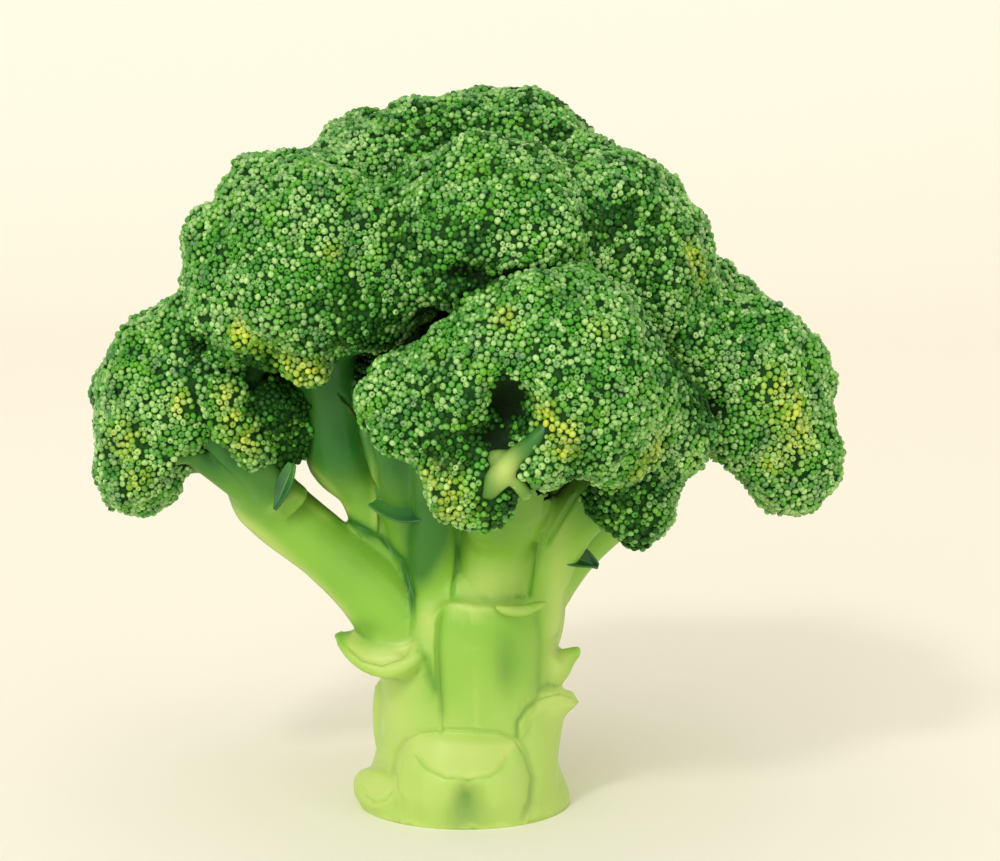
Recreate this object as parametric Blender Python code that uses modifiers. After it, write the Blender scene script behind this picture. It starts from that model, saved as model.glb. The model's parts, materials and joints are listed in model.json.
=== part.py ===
"""A head of broccoli that stands on its cut stalk.

The stalk is one grown piece: a trunk, the stubs of its cut-off leaves, the branches that fan
out of its top and a few small leaves on them. Each branch ends in a flared seat, and each seat
carries one floret, a lobed dome whose outside is covered with buds. Buds are drawn about twice
as large as life, because a real head has some fifteen thousand of them.

Frame: +Z up, the front at -Y, the origin in the middle of the cut face that it stands on.
Lengths in the tables below are millimetres, and MM turns them into Blender's metres.
"""

import math

import bmesh
import bpy
import numpy as np
from mathutils import Matrix, Vector

MM = 0.001

# Colours from the photograph, in linear light.
STALK_COLOUR = (0.36, 0.60, 0.12)
BUD_COLOUR = (0.055, 0.21, 0.035)
STALK_ROUGHNESS = 0.45
BUD_ROUGHNESS = 0.6
SHADES = 5
SHADE_STEP = 0.05

# Trunk: (radius, height) down its outer side. It runs on below the cut and is trimmed there.
TRUNK_PROFILE = [
    (5.0, 58.0), (12.0, 55.0), (16.0, 50.5), (18.3, 44.0), (18.6, 36.0), (17.9, 24.0),
    (18.3, 14.0), (20.4, 6.5), (22.2, 2.0), (22.4, -5.0),
]
TRUNK_STEPS = 32
MERGE_DISTANCE = 0.0001

# Stubs of cut-off leaves round the trunk: bearing in degrees (front is -90), height, half
# width, half height, how far the stub stands out, how far above its middle it is cut off and
# how steeply that cut slopes outwards.
LEAF_STUBS = [
    (-91, 8.0, 13.5, 13.0, 6.0, 7.0, 62),
    (-147, 4.5, 6.5, 7.0, 4.6, 1.0, 55),
    (-143, 35.0, 11.5, 11.0, 8.0, -1.0, 43),
    (-133, 12.0, 13.0, 26.0, 1.2, 24.0, 30),
    (-74, 30.0, 11.6, 27.0, 3.4, 17.0, 25),
    (-63, 46.5, 5.5, 4.0, 5.5, 0.0, 15),
    (-28, 10.0, 10.0, 18.0, 4.2, 13.0, 35),
    (-12, 32.0, 5.5, 7.0, 5.0, 0.5, 48),
    (-24, 42.0, 8.0, 20.0, 1.6, 12.0, 30),
    (52, 14.0, 11.5, 15.0, 5.0, 4.0, 42),
    (100, 6.0, 11.0, 11.0, 4.4, 3.0, 60),
    (74, 34.0, 11.0, 17.0, 4.4, 7.0, 35),
    (146, 17.0, 11.5, 17.0, 4.2, 6.0, 40),
    (122, 37.0, 9.0, 11.0, 6.0, 1.0, 40),
    (28, 42.0, 9.0, 15.0, 4.2, 4.0, 35),
]
STUB_ROOT = 2.0
STUB_CUT_SHARE = 0.5
STUB_SEGMENTS = 24
STUB_RINGS = 16

# Seat of a floret on its branch, as shares of the dome's radius, the ring of points round it
# (steps and angles in degrees) and the air left between pieces.
SEAT_DEPTH = 0.45
SEAT_RADIUS = 0.40
SEAT_ANGLE = math.atan(SEAT_RADIUS / SEAT_DEPTH)
RIM_POINTS = 14
RIM_STEP = 7.5
FLARE_LENGTH = 0.42
NECK_SHARE = 0.8
SEAT_GAP = 0.35
FLARE_CLEARANCE = 1.2
BRANCH_CLEARANCE = 2.0
TUCK_IN = 0.22
TUCK_ANGLE = math.radians(30)
NEIGHBOUR_GAP = 0.45

# How a branch is rounded, and the balls that stand for its wood when a dome keeps clear of it.
BEVEL_STEPS = 4
CURVE_STEPS = 8
WOOD_STEP = 2.0
NEAR_WOOD = 1.6
CLOSEST_WOOD = 0.5

# Buds: how far apart they stand on the outside of a dome, and how far they rise and dip. A dome
# takes no more of them once the widest space left is FULL_AT of the pitch. RIM_SPACE and
# RIM_SPREAD are degrees round the edge of the seat.
BUD_PITCH = 4.15
SNUG_PITCH = 5.2
HIDDEN_PITCH = 9.0
BUD_RISE = 0.9
BUD_DIP = 0.9
SHUT_IN = 1.5
FULL_AT = 0.92
RIM_SPACE = 1.5
RIM_SPREAD = 0.5

# Lumps that make a dome of one floret: how many, their radius, how far out they sit and how
# far down the dome they reach, all as shares of the dome's radius. The rest vary them a little.
LUMPS = 11
LUMP_RADIUS = 0.46
LUMP_DISTANCE = 0.60
LUMP_REACH = 1.55
LUMP_SIZES = (0.9, 1.08)
LUMP_TURN = 0.25
CORE_RADIUS = 0.97
GOLDEN_ANGLE = math.pi * (3 - math.sqrt(5))
CANDIDATES = 4000

# A direction that no branch runs along, a number too small to divide by and a far distance.
OFF_AXIS = (0.31, 0.52, 0.79)
TINY = 1e-6
FAR = 999

# Florets: the dome's centre and radius, lobes that widen it, and its branch from the trunk
# outwards as (x, y, z, radius).
FLORETS = {
    "floret_front": dict(
        centre=(16, -42, 95), radius=24.5, lobes=[((4, -44, 94), 16)],
        hollows=[((9.5, -64, 90), 5.5, 10.0), ((21, -52, 74), 7.0, 6.0)],
        branch=[(4, -4, 34, 10), (6, -8.5, 49, 8.4), (7, -13, 60, 8.2), (9.5, -22, 71, 9)],
    ),
    "floret_front_left": dict(
        centre=(-8.5, -41, 91), radius=12,
        branch=[(-5, -8, 38, 6), (-6.5, -12, 52, 5), (-6, -24, 70, 4.4)],
    ),
    "floret_front_low": dict(
        centre=(2, -46.5, 77), radius=10,
        branch=[(6, -16, 60, 5), (4, -29, 67, 4)],
    ),
    "floret_front_right": dict(
        centre=(38, -31, 85.5), radius=12,
        branch=[(13, -6, 40, 7), (16, -10, 53, 6), (21, -15, 63, 5.8), (29, -22, 73, 5.2)],
    ),
    "floret_front_tail": dict(
        centre=(33, -28, 70), radius=10,
        branch=[(15.5, -9, 50, 6), (21, -15, 60, 5)],
    ),
    "floret_centre": dict(
        centre=(6, -27.5, 121), radius=21.5,
        branch=[(-2, -2, 40, 11), (-2, -4, 64, 9.5), (0, -10, 86, 7.5), (3, -20, 104, 6)],
    ),
    "floret_left_upper": dict(
        centre=(-31, -13, 112), radius=26.5,
        branch=[(-5, -1, 38, 8.5), (-13, -4, 52, 7.2), (-19.5, -7, 64, 7.4), (-26.5, -10, 79, 8)],
    ),
    "floret_left_low": dict(
        centre=(-55.5, -5, 87), radius=21.5,
        lobes=[((-63.5, -8, 74), 13.5)],
        branch=[(-7, -4, 30, 9.5), (-16.5, -7, 41.5, 7.4), (-29, -8, 55, 6.9), (-41.5, -8, 67, 7.2)],
    ),
    "floret_left_inner": dict(
        centre=(-44.5, -23, 85), radius=9.5,
        branch=[(-36, -9, 62, 5.2), (-41, -15, 72, 4.2)],
    ),
    "floret_top_left": dict(
        centre=(-15.5, 3, 123), radius=23.5, lobes=[((-9, 2, 134.5), 14.5)],
        branch=[(-2, 1, 50, 8), (-8, 2, 74, 7.5), (-13, 3, 98, 7)],
    ),
    "floret_top": dict(
        centre=(8, 8, 127.5), radius=24, lobes=[((-1, 5, 136.5), 14)],
        branch=[(1, 2, 54, 9), (4, 5, 80, 8), (7, 7, 102, 7.5)],
    ),
    "floret_right_upper": dict(
        centre=(25, -5, 114.5), radius=26.5,
        branch=[(6, 0, 46, 8.5), (14, -2, 66, 7.5), (21, -4, 86, 7.5)],
    ),
    "floret_right_low": dict(
        centre=(56, -2, 87.5), radius=21,
        lobes=[((65.5, -5, 76), 13)],
        branch=[(9, 1, 38, 8.5), (22, 0, 56, 7.2), (38, -1, 70, 7)],
    ),
    "floret_back_left": dict(
        centre=(-47, 27, 92), radius=22.5,
        branch=[(-5, 7, 40, 9), (-11, 15, 58, 7.6), (-21, 23, 76, 7)],
    ),
    "floret_back_right": dict(
        centre=(47, 28, 92), radius=22.5,
        branch=[(6, 7, 36, 9), (18, 13, 54, 7.6), (33, 20, 70, 7.2)],
    ),
    "floret_back": dict(
        centre=(-1, 45, 94), radius=24,
        branch=[(0, 8, 34, 9.5), (0, 18, 54, 8.4), (-1, 29, 71, 8)],
    ),
    "floret_back_upper_left": dict(
        centre=(-18, 28, 114), radius=23,
        branch=[(-3, 7, 50, 8), (-9, 14, 74, 7), (-14, 22, 94, 6.5)],
    ),
    "floret_back_upper_right": dict(
        centre=(20, 28, 113), radius=23,
        branch=[(4, 7, 50, 8), (11, 14, 74, 7), (16, 22, 93, 6.5)],
    ),
    "floret_back_low_left": dict(
        centre=(-26, 50, 76), radius=13,
        branch=[(-7, 10, 40, 6.5), (-13, 24, 53, 5.2), (-19, 37, 63, 5)],
    ),
    "floret_back_low_right": dict(
        centre=(26, 51, 75), radius=13,
        branch=[(7, 10, 40, 6.5), (13, 24, 53, 5.2), (19, 37, 62, 5)],
    ),
}

# Pointed corners of the stubs, tapered like a horn: rows of x, y, z and radius to the tip.
HORNS = [
    [(-15, -8, 30, 4.6), (-21, -9.5, 33, 3.4), (-25, -9.5, 35.5, 2.0), (-27.4, -9, 38.2, 0.8)],
    [(15, -10, 18, 4.5), (20, -9.5, 22, 3.2), (22.8, -9, 23.6, 2.0), (24.6, -9, 22.6, 0.9)],
    [(17, -4, 29, 3.6), (21, -4.5, 32, 2.4), (24.4, -4.5, 34.2, 0.9)],
    [(-11, 13, 12, 4.0), (-14, 18, 16, 2.6), (-16, 21, 19.5, 1.0)],
]

# Small leaves on the branches: root, tip, width and the side that their cupped face looks to.
SMALL_LEAVES = [
    ((14, -12, 54), (28, -15, 55), 6.5, (0.1, -0.5, 0.9)),
    ((-15, -11, 64), (-4, -19, 64), 6.5, (-0.1, -0.5, 0.9)),
    ((-37, -12, 61), (-40, -17, 72), 6.0, (-0.7, -0.6, 0.2)),
    ((-14, -8, 56), (-16, -17, 84), 13.0, (-0.35, -0.9, 0.1)),
    ((26, 17, 59), (37, 20, 59), 6.5, (0.2, 0.2, 0.9)),
    ((-6, 17, 52), (-12, 28, 57), 7.0, (-0.2, -0.2, 0.9)),
]
LEAF_THICKNESS = 1.2
LEAF_ROWS = 6
LEAF_COLUMNS = 4
LEAF_CUP = 0.22
LEAF_DROOP = 0.18
LEAF_ROOT_WIDTH = 0.25
LEAF_ROOT_TURN = 0.18
LEAF_TIP_TURN = 0.8

# The stalk's mesh: its grid, how it is softened and thinned out, and the block below the cut.
VOXEL = 0.9
SMOOTH_FACTOR = 0.5
SMOOTH_STEPS = 1
STALK_SHARE_KEPT = 0.022
WELD_DISTANCE = 0.00001
GROUND_SIZE = (0.2, 0.2, 0.04)


def clear_scene():
    for old in list(bpy.data.objects):
        bpy.data.objects.remove(old, do_unlink=True)


def new_collection(name):
    made = bpy.data.collections.new(name)
    bpy.context.scene.collection.children.link(made)
    return made


def new_material(name, colour, roughness):
    made = bpy.data.materials.new(name)
    made.use_nodes = True
    shader = made.node_tree.nodes["Principled BSDF"]
    shader.inputs["Base Color"].default_value = (*colour, 1.0)
    shader.inputs["Roughness"].default_value = roughness
    shader.inputs["Metallic"].default_value = 0.0
    made.diffuse_color = (*colour, 1.0)
    return made


def object_from_bmesh(name, bm, collection):
    mesh = bpy.data.meshes.new(name)
    bm.to_mesh(mesh)
    bm.free()
    made = bpy.data.objects.new(name, mesh)
    collection.objects.link(made)
    return made


def evaluated_mesh(source):
    """The object's mesh with its modifiers applied, or the mesh that a curve makes."""
    graph = bpy.context.evaluated_depsgraph_get()
    return bpy.data.meshes.new_from_object(source.evaluated_get(graph), depsgraph=graph)


def floret_axis(floret):
    """The way a floret looks: from the last point of its branch towards its dome's centre."""
    last = np.array(floret["branch"][-1][:3], float)
    axis = np.array(floret["centre"], float) - last
    return axis / np.linalg.norm(axis)


def full_branch(floret):
    """The branch's points with the flare that ends it, as rows of x, y, z and radius."""
    axis = floret_axis(floret)
    radius = floret["radius"]
    seat = np.array(floret["centre"], float) - axis * (SEAT_DEPTH * radius + SEAT_GAP)
    neck = seat - axis * FLARE_LENGTH * radius
    flare = SEAT_RADIUS * radius - FLARE_CLEARANCE
    neck_radius = min(floret["branch"][-1][3], NECK_SHARE * flare)
    rows = [*floret["branch"], (*neck, neck_radius), (*seat, flare)]
    return np.array(rows, float)


def turned_trunk(collection):
    """The trunk: its profile turned about Z by a Screw modifier."""
    bm = bmesh.new()
    points = [bm.verts.new((0, 0, TRUNK_PROFILE[0][1] * MM))]
    points += [bm.verts.new((r * MM, 0, z * MM)) for r, z in TRUNK_PROFILE]
    points += [bm.verts.new((0, 0, TRUNK_PROFILE[-1][1] * MM))]
    for upper, lower in zip(points, points[1:]):
        bm.edges.new((upper, lower))
    trunk = object_from_bmesh("trunk", bm, collection)
    turn = trunk.modifiers.new("turn", "SCREW")
    turn.steps = turn.render_steps = TRUNK_STEPS
    turn.use_merge_vertices = True
    turn.merge_threshold = MERGE_DISTANCE
    return trunk


def branch_curve(name, rows, collection):
    """A branch as a smooth curve whose bevel follows the radius at each point."""
    curve = bpy.data.curves.new(name, "CURVE")
    curve.dimensions = "3D"
    curve.bevel_depth = MM
    curve.bevel_resolution = BEVEL_STEPS
    curve.resolution_u = CURVE_STEPS
    curve.use_fill_caps = True
    spline = curve.splines.new("BEZIER")
    spline.bezier_points.add(len(rows) - 1)
    for point, (x, y, z, radius) in zip(spline.bezier_points, rows):
        point.co = (x * MM, y * MM, z * MM)
        point.radius = radius
        point.handle_left_type = point.handle_right_type = "AUTO"
    made = bpy.data.objects.new(name, curve)
    collection.objects.link(made)
    return made


def leaf_stub(name, stub, collection):
    """The base of a cut-off leaf: a flattened ball on the trunk, cut off by a sloping plane."""
    bearing, height, half_width, half_height, proud, cut_above, slope = stub
    slope = math.radians(slope)
    turn = Matrix.Rotation(math.radians(bearing), 4, "Z")
    rising = list(reversed(TRUNK_PROFILE))
    heights, radii = [z for _, z in rising], [r for r, _ in rising]
    trunk_radius = float(np.interp(height, heights, radii))
    middle = Matrix.Translation(((trunk_radius - STUB_ROOT) * MM, 0, height * MM))
    size = Matrix.Diagonal(((proud + STUB_ROOT) * MM, half_width * MM, half_height * MM, 1))
    bm = bmesh.new()
    bmesh.ops.create_uvsphere(
        bm, u_segments=STUB_SEGMENTS, v_segments=STUB_RINGS, radius=1, matrix=turn @ middle @ size
    )
    across = turn @ Vector((math.sin(slope), 0, math.cos(slope)))
    cut_out, cut_height = trunk_radius + STUB_CUT_SHARE * proud, height + cut_above
    through = turn @ Vector((cut_out * MM, 0, cut_height * MM))
    everything = bm.verts[:] + bm.edges[:] + bm.faces[:]
    cut = bmesh.ops.bisect_plane(
        bm, geom=everything, plane_co=through, plane_no=across, clear_outer=True
    )
    rim = [piece for piece in cut["geom_cut"] if isinstance(piece, bmesh.types.BMEdge)]
    bmesh.ops.holes_fill(bm, edges=rim)
    return object_from_bmesh(name, bm, collection)


def small_leaf(name, leaf, collection):
    """A little pointed leaf: a grid narrowed to its tip, cupped, bent down and thickened."""
    root, tip, width, faces_to = leaf
    along = Vector(tip) - Vector(root)
    length = along.length
    along.normalize()
    up = (Vector(faces_to) - along * along.dot(Vector(faces_to))).normalized()
    side = up.cross(along)
    bm = bmesh.new()
    bmesh.ops.create_grid(bm, x_segments=LEAF_ROWS, y_segments=LEAF_COLUMNS, size=0.5)
    for vert in bm.verts:
        share, across = vert.co.x + 0.5, vert.co.y * 2
        narrowing = math.sin(math.pi * (LEAF_ROOT_TURN + LEAF_TIP_TURN * share))
        half_width = 0.5 * width * (LEAF_ROOT_WIDTH + (1 - LEAF_ROOT_WIDTH) * narrowing)
        lift = LEAF_CUP * width * across**2 - LEAF_DROOP * length * share**2
        place = Vector(root) + along * length * share + side * across * half_width + up * lift
        vert.co = place * MM
    made = object_from_bmesh(name, bm, collection)
    thick = made.modifiers.new("thickness", "SOLIDIFY")
    thick.thickness = LEAF_THICKNESS * MM
    thick.offset = 0
    return made


def build_stalk(collection, material):
    """Trunk, leaf stubs and branches grown together, with the cut face below and the leaves on."""
    grown = new_collection("stalk_pieces")
    pieces = [turned_trunk(grown)]
    for number, stub in enumerate(LEAF_STUBS):
        pieces.append(leaf_stub(f"stub_{number}", stub, grown))
    for name, floret in FLORETS.items():
        pieces.append(branch_curve(f"branch_of_{name}", full_branch(floret), grown))
    for number, rows in enumerate(HORNS):
        pieces.append(branch_curve(f"horn_{number}", rows, grown))

    bm = bmesh.new()
    for piece in pieces:
        part = evaluated_mesh(piece)
        bm.from_mesh(part)
        bpy.data.meshes.remove(part)
    bmesh.ops.remove_doubles(bm, verts=bm.verts[:], dist=WELD_DISTANCE)
    bmesh.ops.recalc_face_normals(bm, faces=bm.faces[:])
    stalk = object_from_bmesh("stalk", bm, collection)

    for piece in pieces:
        bpy.data.objects.remove(piece, do_unlink=True)
    bpy.data.collections.remove(grown)
    stalk.data.materials.append(material)

    grow = stalk.modifiers.new("grow_together", "REMESH")
    grow.mode = "VOXEL"
    grow.voxel_size = VOXEL * MM
    soften = stalk.modifiers.new("soften", "SMOOTH")
    soften.factor = SMOOTH_FACTOR
    soften.iterations = SMOOTH_STEPS
    thin = stalk.modifiers.new("thin_out", "DECIMATE")
    thin.ratio = STALK_SHARE_KEPT
    thin.use_collapse_triangulate = True

    cutters = new_collection("cutters")
    bm = bmesh.new()
    bmesh.ops.create_cube(bm, size=1, matrix=Matrix.Diagonal((*GROUND_SIZE, 1)))
    ground = object_from_bmesh("cut_face", bm, cutters)
    ground.location.z = -GROUND_SIZE[2] / 2
    trim = stalk.modifiers.new("trim", "BOOLEAN")
    trim.operation = "DIFFERENCE"
    trim.object = ground

    leaves = new_collection("small_leaves")
    for number, leaf in enumerate(SMALL_LEAVES):
        small_leaf(f"small_leaf_{number}", leaf, leaves)
    join = stalk.modifiers.new("join_leaves", "BOOLEAN")
    join.operation = "UNION"
    join.operand_type = "COLLECTION"
    join.collection = leaves
    for helper in [*cutters.objects, *leaves.objects]:
        helper.hide_render = True
        helper.display_type = "WIRE"
    return stalk


def wood_samples():
    """Balls that fill the trunk and every branch: centres, radii and the floret they lead to."""
    centres, radii, owners = [], [], []
    for radius, height in TRUNK_PROFILE:
        centres.append((0, 0, height))
        radii.append(radius)
        owners.append("")
    for name, floret in FLORETS.items():
        rows = full_branch(floret)
        for start, end in zip(rows, rows[1:]):
            steps = max(2, int(np.linalg.norm(end[:3] - start[:3]) / WOOD_STEP))
            for share in np.linspace(0, 1, steps, endpoint=False):
                row = start + (end - start) * share
                centres.append(row[:3])
                radii.append(row[3])
                owners.append(name)
    return np.array(centres, float), np.array(radii, float), np.array(owners)


def sphere_exit(directions, offset, radius):
    """How far along each direction a ball's far side lies, or 0 where the ball is missed."""
    along = directions @ offset
    inside = along**2 - offset @ offset + radius**2
    return np.where(inside > 0, along + np.sqrt(np.maximum(inside, 0)), 0)


def sphere_entry(directions, offset, radius):
    """How far along each direction a ball is first met, or infinity where it is missed."""
    along = directions @ offset
    inside = along**2 - offset @ offset + radius**2
    met = (inside > 0) & (along > 0)
    return np.where(met, np.maximum(along - np.sqrt(np.maximum(inside, 0)), CLOSEST_WOOD), np.inf)


def lumps_of(name, floret):
    """Balls whose outside makes the dome: the main one, its lobes and a spiral of lumps."""
    radius = floret["radius"]
    axis = floret_axis(floret)
    to_side = np.cross(axis, OFF_AXIS)
    to_side /= np.linalg.norm(to_side)
    to_front = np.cross(axis, to_side)
    centre = np.array(floret["centre"], float)
    balls = [(np.zeros(3), CORE_RADIUS * radius)]
    balls += [(np.array(place, float) - centre, size) for place, size in floret.get("lobes", [])]
    draw = np.random.default_rng(sum(map(ord, name)))
    for number in range(LUMPS):
        cosine = 1 - LUMP_REACH * (number + 0.5) / LUMPS
        sine = math.sqrt(1 - cosine**2)
        turn = GOLDEN_ANGLE * number + draw.uniform(-LUMP_TURN, LUMP_TURN)
        way = axis * cosine + (to_side * math.cos(turn) + to_front * math.sin(turn)) * sine
        size = LUMP_RADIUS * draw.uniform(*LUMP_SIZES)
        balls.append((way * LUMP_DISTANCE * radius, size * radius))
    return balls


def seat_reach(floret, directions):
    """How far each direction runs before it meets the flat seat, or infinity beside it."""
    down = -(directions @ floret_axis(floret))
    widest = math.cos(SEAT_ANGLE) - TINY
    depth = SEAT_DEPTH * floret["radius"]
    return np.where(down >= widest, depth / np.maximum(down, TINY), np.inf)


def reach(name, directions, wood):
    """What bounds a dome along each direction from its centre: how far it would grow, how far
    it may, whether its skin there is shut in between domes, so that nobody sees it, and
    whether it is snug against a branch."""
    floret = FLORETS[name]
    centre, radius = np.array(floret["centre"], float), floret["radius"]
    dome = np.zeros(len(directions))
    for offset, size in lumps_of(name, floret):
        dome = np.maximum(dome, sphere_exit(directions, offset, size))
    for place, width, depth in floret.get("hollows", []):
        way = np.array(place, float) - centre
        beside = np.linalg.norm(directions * np.linalg.norm(way) - way, axis=1)
        dome -= depth * np.exp(-((beside / width) ** 2))
    tuck = 1 - np.arccos(np.clip(-(directions @ floret_axis(floret)), -1, 1)) / TUCK_ANGLE
    tuck = np.clip(tuck + SEAT_ANGLE / TUCK_ANGLE, 0, 1)
    dome *= 1 - TUCK_IN * tuck**2
    free = seat_reach(floret, directions)
    shut_in = free < dome
    for other_name, other in FLORETS.items():
        if other_name == name:
            continue
        to_other = np.array(other["centre"], float) - centre
        apart = np.linalg.norm(to_other)
        plane = (apart**2 + radius**2 - other["radius"] ** 2) / (2 * apart) - NEIGHBOUR_GAP / 2
        towards = directions @ (to_other / apart)
        limit = np.where(towards > TINY, plane / np.maximum(towards, TINY), np.inf)
        met = limit < np.minimum(dome, free)
        from_other = np.linalg.norm(directions * np.minimum(limit, FAR)[:, None] - to_other, axis=1)
        shut_in |= met & (from_other < other["radius"] - SHUT_IN)
        free = np.minimum(free, limit)
    between_domes = free.copy()
    centres, radii, owners = wood
    for place, thickness, owner in zip(centres, radii, owners):
        offset = place - centre
        behind_seat = -(offset @ floret_axis(floret)) - thickness > SEAT_DEPTH * radius
        near = np.linalg.norm(offset) < NEAR_WOOD * radius + thickness
        if near and (owner != name or behind_seat):
            free = np.minimum(free, sphere_entry(directions, offset, thickness + BRANCH_CLEARANCE))
    snug = free < np.minimum(dome, between_domes)
    return dome, free, shut_in, snug


def spiral_directions(count):
    number = np.arange(count) + 0.5
    cosine = 1 - 2 * number / count
    sine = np.sqrt(1 - cosine**2)
    turn = GOLDEN_ANGLE * number
    return np.stack([np.cos(turn) * sine, np.sin(turn) * sine, cosine], axis=1)


def seat_rim(floret):
    """Directions in two staggered rings, one just inside the seat's edge and one outside it."""
    axis = floret_axis(floret)
    side = np.cross(axis, OFF_AXIS)
    side /= np.linalg.norm(side)
    front = np.cross(axis, side)
    rings = []
    for spread, stagger in ((-RIM_SPREAD, 0.0), (RIM_STEP, 0.5)):
        edge = SEAT_ANGLE + math.radians(spread)
        turns = (np.arange(RIM_POINTS) + stagger) * 2 * math.pi / RIM_POINTS
        ring = np.outer(np.cos(turns), side) + np.outer(np.sin(turns), front)
        rings.append(ring * math.sin(edge) - axis * math.cos(edge))
    return np.concatenate(rings)


def bud_directions(name, wood):
    """Directions whose surface points stand evenly apart: close on the open side of a dome,
    wider where it is snug against a branch and widest where it is shut in. The first ones
    ring the seat's edge, and no others come near them."""
    floret = FLORETS[name]
    rings = seat_rim(floret)
    spiral = spiral_directions(CANDIDATES)
    off_rim = np.degrees(np.arccos(np.clip(-(spiral @ floret_axis(floret)), -1, 1)) - SEAT_ANGLE)
    spiral = spiral[(off_rim < -RIM_STEP - RIM_SPACE) | (off_rim > RIM_STEP)]
    ways = np.concatenate([rings, spiral])
    dome, free, shut_in, snug = reach(name, ways, wood)
    places = ways * np.minimum(dome, free)[:, None]
    pitch = np.where(snug, SNUG_PITCH, np.where(shut_in, HIDDEN_PITCH, BUD_PITCH))
    nearest = np.full(len(ways), np.inf)
    chosen = list(range(len(rings)))
    for index in chosen:
        nearest = np.minimum(nearest, np.linalg.norm(places - places[index], axis=1))
    while True:
        ratio = nearest / pitch
        index = int(ratio.argmax())
        if ratio[index] < FULL_AT:
            break
        chosen.append(index)
        nearest = np.minimum(nearest, np.linalg.norm(places - places[index], axis=1))
    return ways[chosen], len(rings)


def build_floret(name, collection, material, wood):
    """A dome over its seat: a hull of bud directions, where each face between buds gets a low
    middle point and each edge between two buds is turned to join those points instead."""
    ways, rings = bud_directions(name, wood)
    bm = bmesh.new()
    layer = bm.verts.layers.int.new("bud")
    for number, way in enumerate(ways):
        bm.verts.new(way)[layer] = number + 1
    bmesh.ops.convex_hull(bm, input=bm.verts[:])
    _, _, shut_in, snug = reach(name, ways, wood)
    is_bud = ~shut_in & ~snug
    is_bud[:rings] = False

    between_buds = [f for f in bm.faces if all(is_bud[v[layer] - 1] for v in f.verts)]
    faces = set(between_buds)
    turned = [e for e in bm.edges if len(e.link_faces) == 2 and faces.issuperset(e.link_faces)]
    ends = [tuple(e.verts) for e in turned]
    for middle in bmesh.ops.poke(bm, faces=between_buds)["verts"]:
        middle[layer] = 0
    edges = [bm.edges.get(pair) for pair in ends]
    bmesh.ops.rotate_edges(bm, edges=edges)

    numbers = np.array([v[layer] for v in bm.verts])
    aims = np.array([v.co for v in bm.verts], float)
    aims /= np.linalg.norm(aims, axis=1)[:, None]
    hull = numbers > 0
    aims[hull] = ways[numbers[hull] - 1]
    raised = np.zeros(len(aims), bool)
    raised[hull] = is_bud[numbers[hull] - 1]
    sunk = ~hull
    dome, free, _, _ = reach(name, aims, wood)
    skin = np.minimum(dome, free - np.where(raised | sunk, BUD_RISE, 0))
    length = skin + BUD_RISE * raised - BUD_DIP * sunk
    for vert, aim, far in zip(bm.verts, aims, length):
        vert.co = Vector(aim) * float(far) * MM
    bmesh.ops.recalc_face_normals(bm, faces=bm.faces[:])
    made = object_from_bmesh(name, bm, collection)
    made.location = Vector(FLORETS[name]["centre"]) * MM
    made.data.materials.append(material)
    return made


def main():
    clear_scene()
    broccoli = new_collection("broccoli_head")
    root = bpy.data.objects.new("broccoli", None)
    root.empty_display_size = 0.02
    broccoli.objects.link(root)

    stalk = build_stalk(broccoli, new_material("stalk", STALK_COLOUR, STALK_ROUGHNESS))
    stalk.parent = root
    wood = wood_samples()
    for number, name in enumerate(FLORETS):
        shade = 1 + SHADE_STEP * (number % SHADES - SHADES // 2)
        colour = [shade * channel for channel in BUD_COLOUR]
        floret = build_floret(name, broccoli, new_material(name, colour, BUD_ROUGHNESS), wood)
        floret.parent = root


main()
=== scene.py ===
"""Looks of a head of broccoli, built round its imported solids.

Every floret of the frame is replaced by a smooth core of the same form that is closely set with
buds of life size. The stalk is grown once more from the same trunk, leaf stubs and branches as
its solid, with a finer skin, the overlapping edges and dents of the real one, and the little
stems that fan out under each floret. Frame: +Z up, the front at -Y, the origin in the middle of
the cut face. Tables hold millimetres or pixels of the photograph; MM makes Blender's metres.
"""

import json
import math
from contextlib import contextmanager
from itertools import product

import bmesh
import bpy
import numpy as np
from mathutils import Matrix, Vector
from mathutils.bvhtree import BVHTree
from mathutils.kdtree import KDTree

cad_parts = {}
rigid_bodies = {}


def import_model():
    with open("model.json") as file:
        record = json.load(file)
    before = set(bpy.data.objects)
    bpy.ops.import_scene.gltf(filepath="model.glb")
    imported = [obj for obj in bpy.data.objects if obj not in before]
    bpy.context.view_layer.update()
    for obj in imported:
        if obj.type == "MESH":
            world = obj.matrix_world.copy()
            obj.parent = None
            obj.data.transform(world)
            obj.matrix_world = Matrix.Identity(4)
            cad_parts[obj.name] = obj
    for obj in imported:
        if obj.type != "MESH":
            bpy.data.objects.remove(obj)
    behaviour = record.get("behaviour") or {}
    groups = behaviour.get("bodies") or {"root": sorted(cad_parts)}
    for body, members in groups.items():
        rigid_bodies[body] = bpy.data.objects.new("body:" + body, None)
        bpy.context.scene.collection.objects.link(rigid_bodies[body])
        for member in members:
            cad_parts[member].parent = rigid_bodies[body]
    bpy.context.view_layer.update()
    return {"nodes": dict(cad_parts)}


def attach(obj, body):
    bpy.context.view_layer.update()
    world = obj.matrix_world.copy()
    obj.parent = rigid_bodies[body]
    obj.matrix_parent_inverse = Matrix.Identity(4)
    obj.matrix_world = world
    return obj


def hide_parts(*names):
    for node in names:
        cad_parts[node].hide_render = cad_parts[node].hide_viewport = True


MM = 0.001

# Camera, with the photograph's frame.
CAMERA_PLACE = np.array((7.35, -600.0, 165.0))
CAMERA_TARGET = np.array((7.35, 0.0, 80.0))
CAMERA_LENS = 103.9
CAMERA_SENSOR = 36.0
PHOTO_WIDTH, PHOTO_HEIGHT = 1000, 861
PIXELS = CAMERA_LENS / CAMERA_SENSOR * PHOTO_WIDTH

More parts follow.
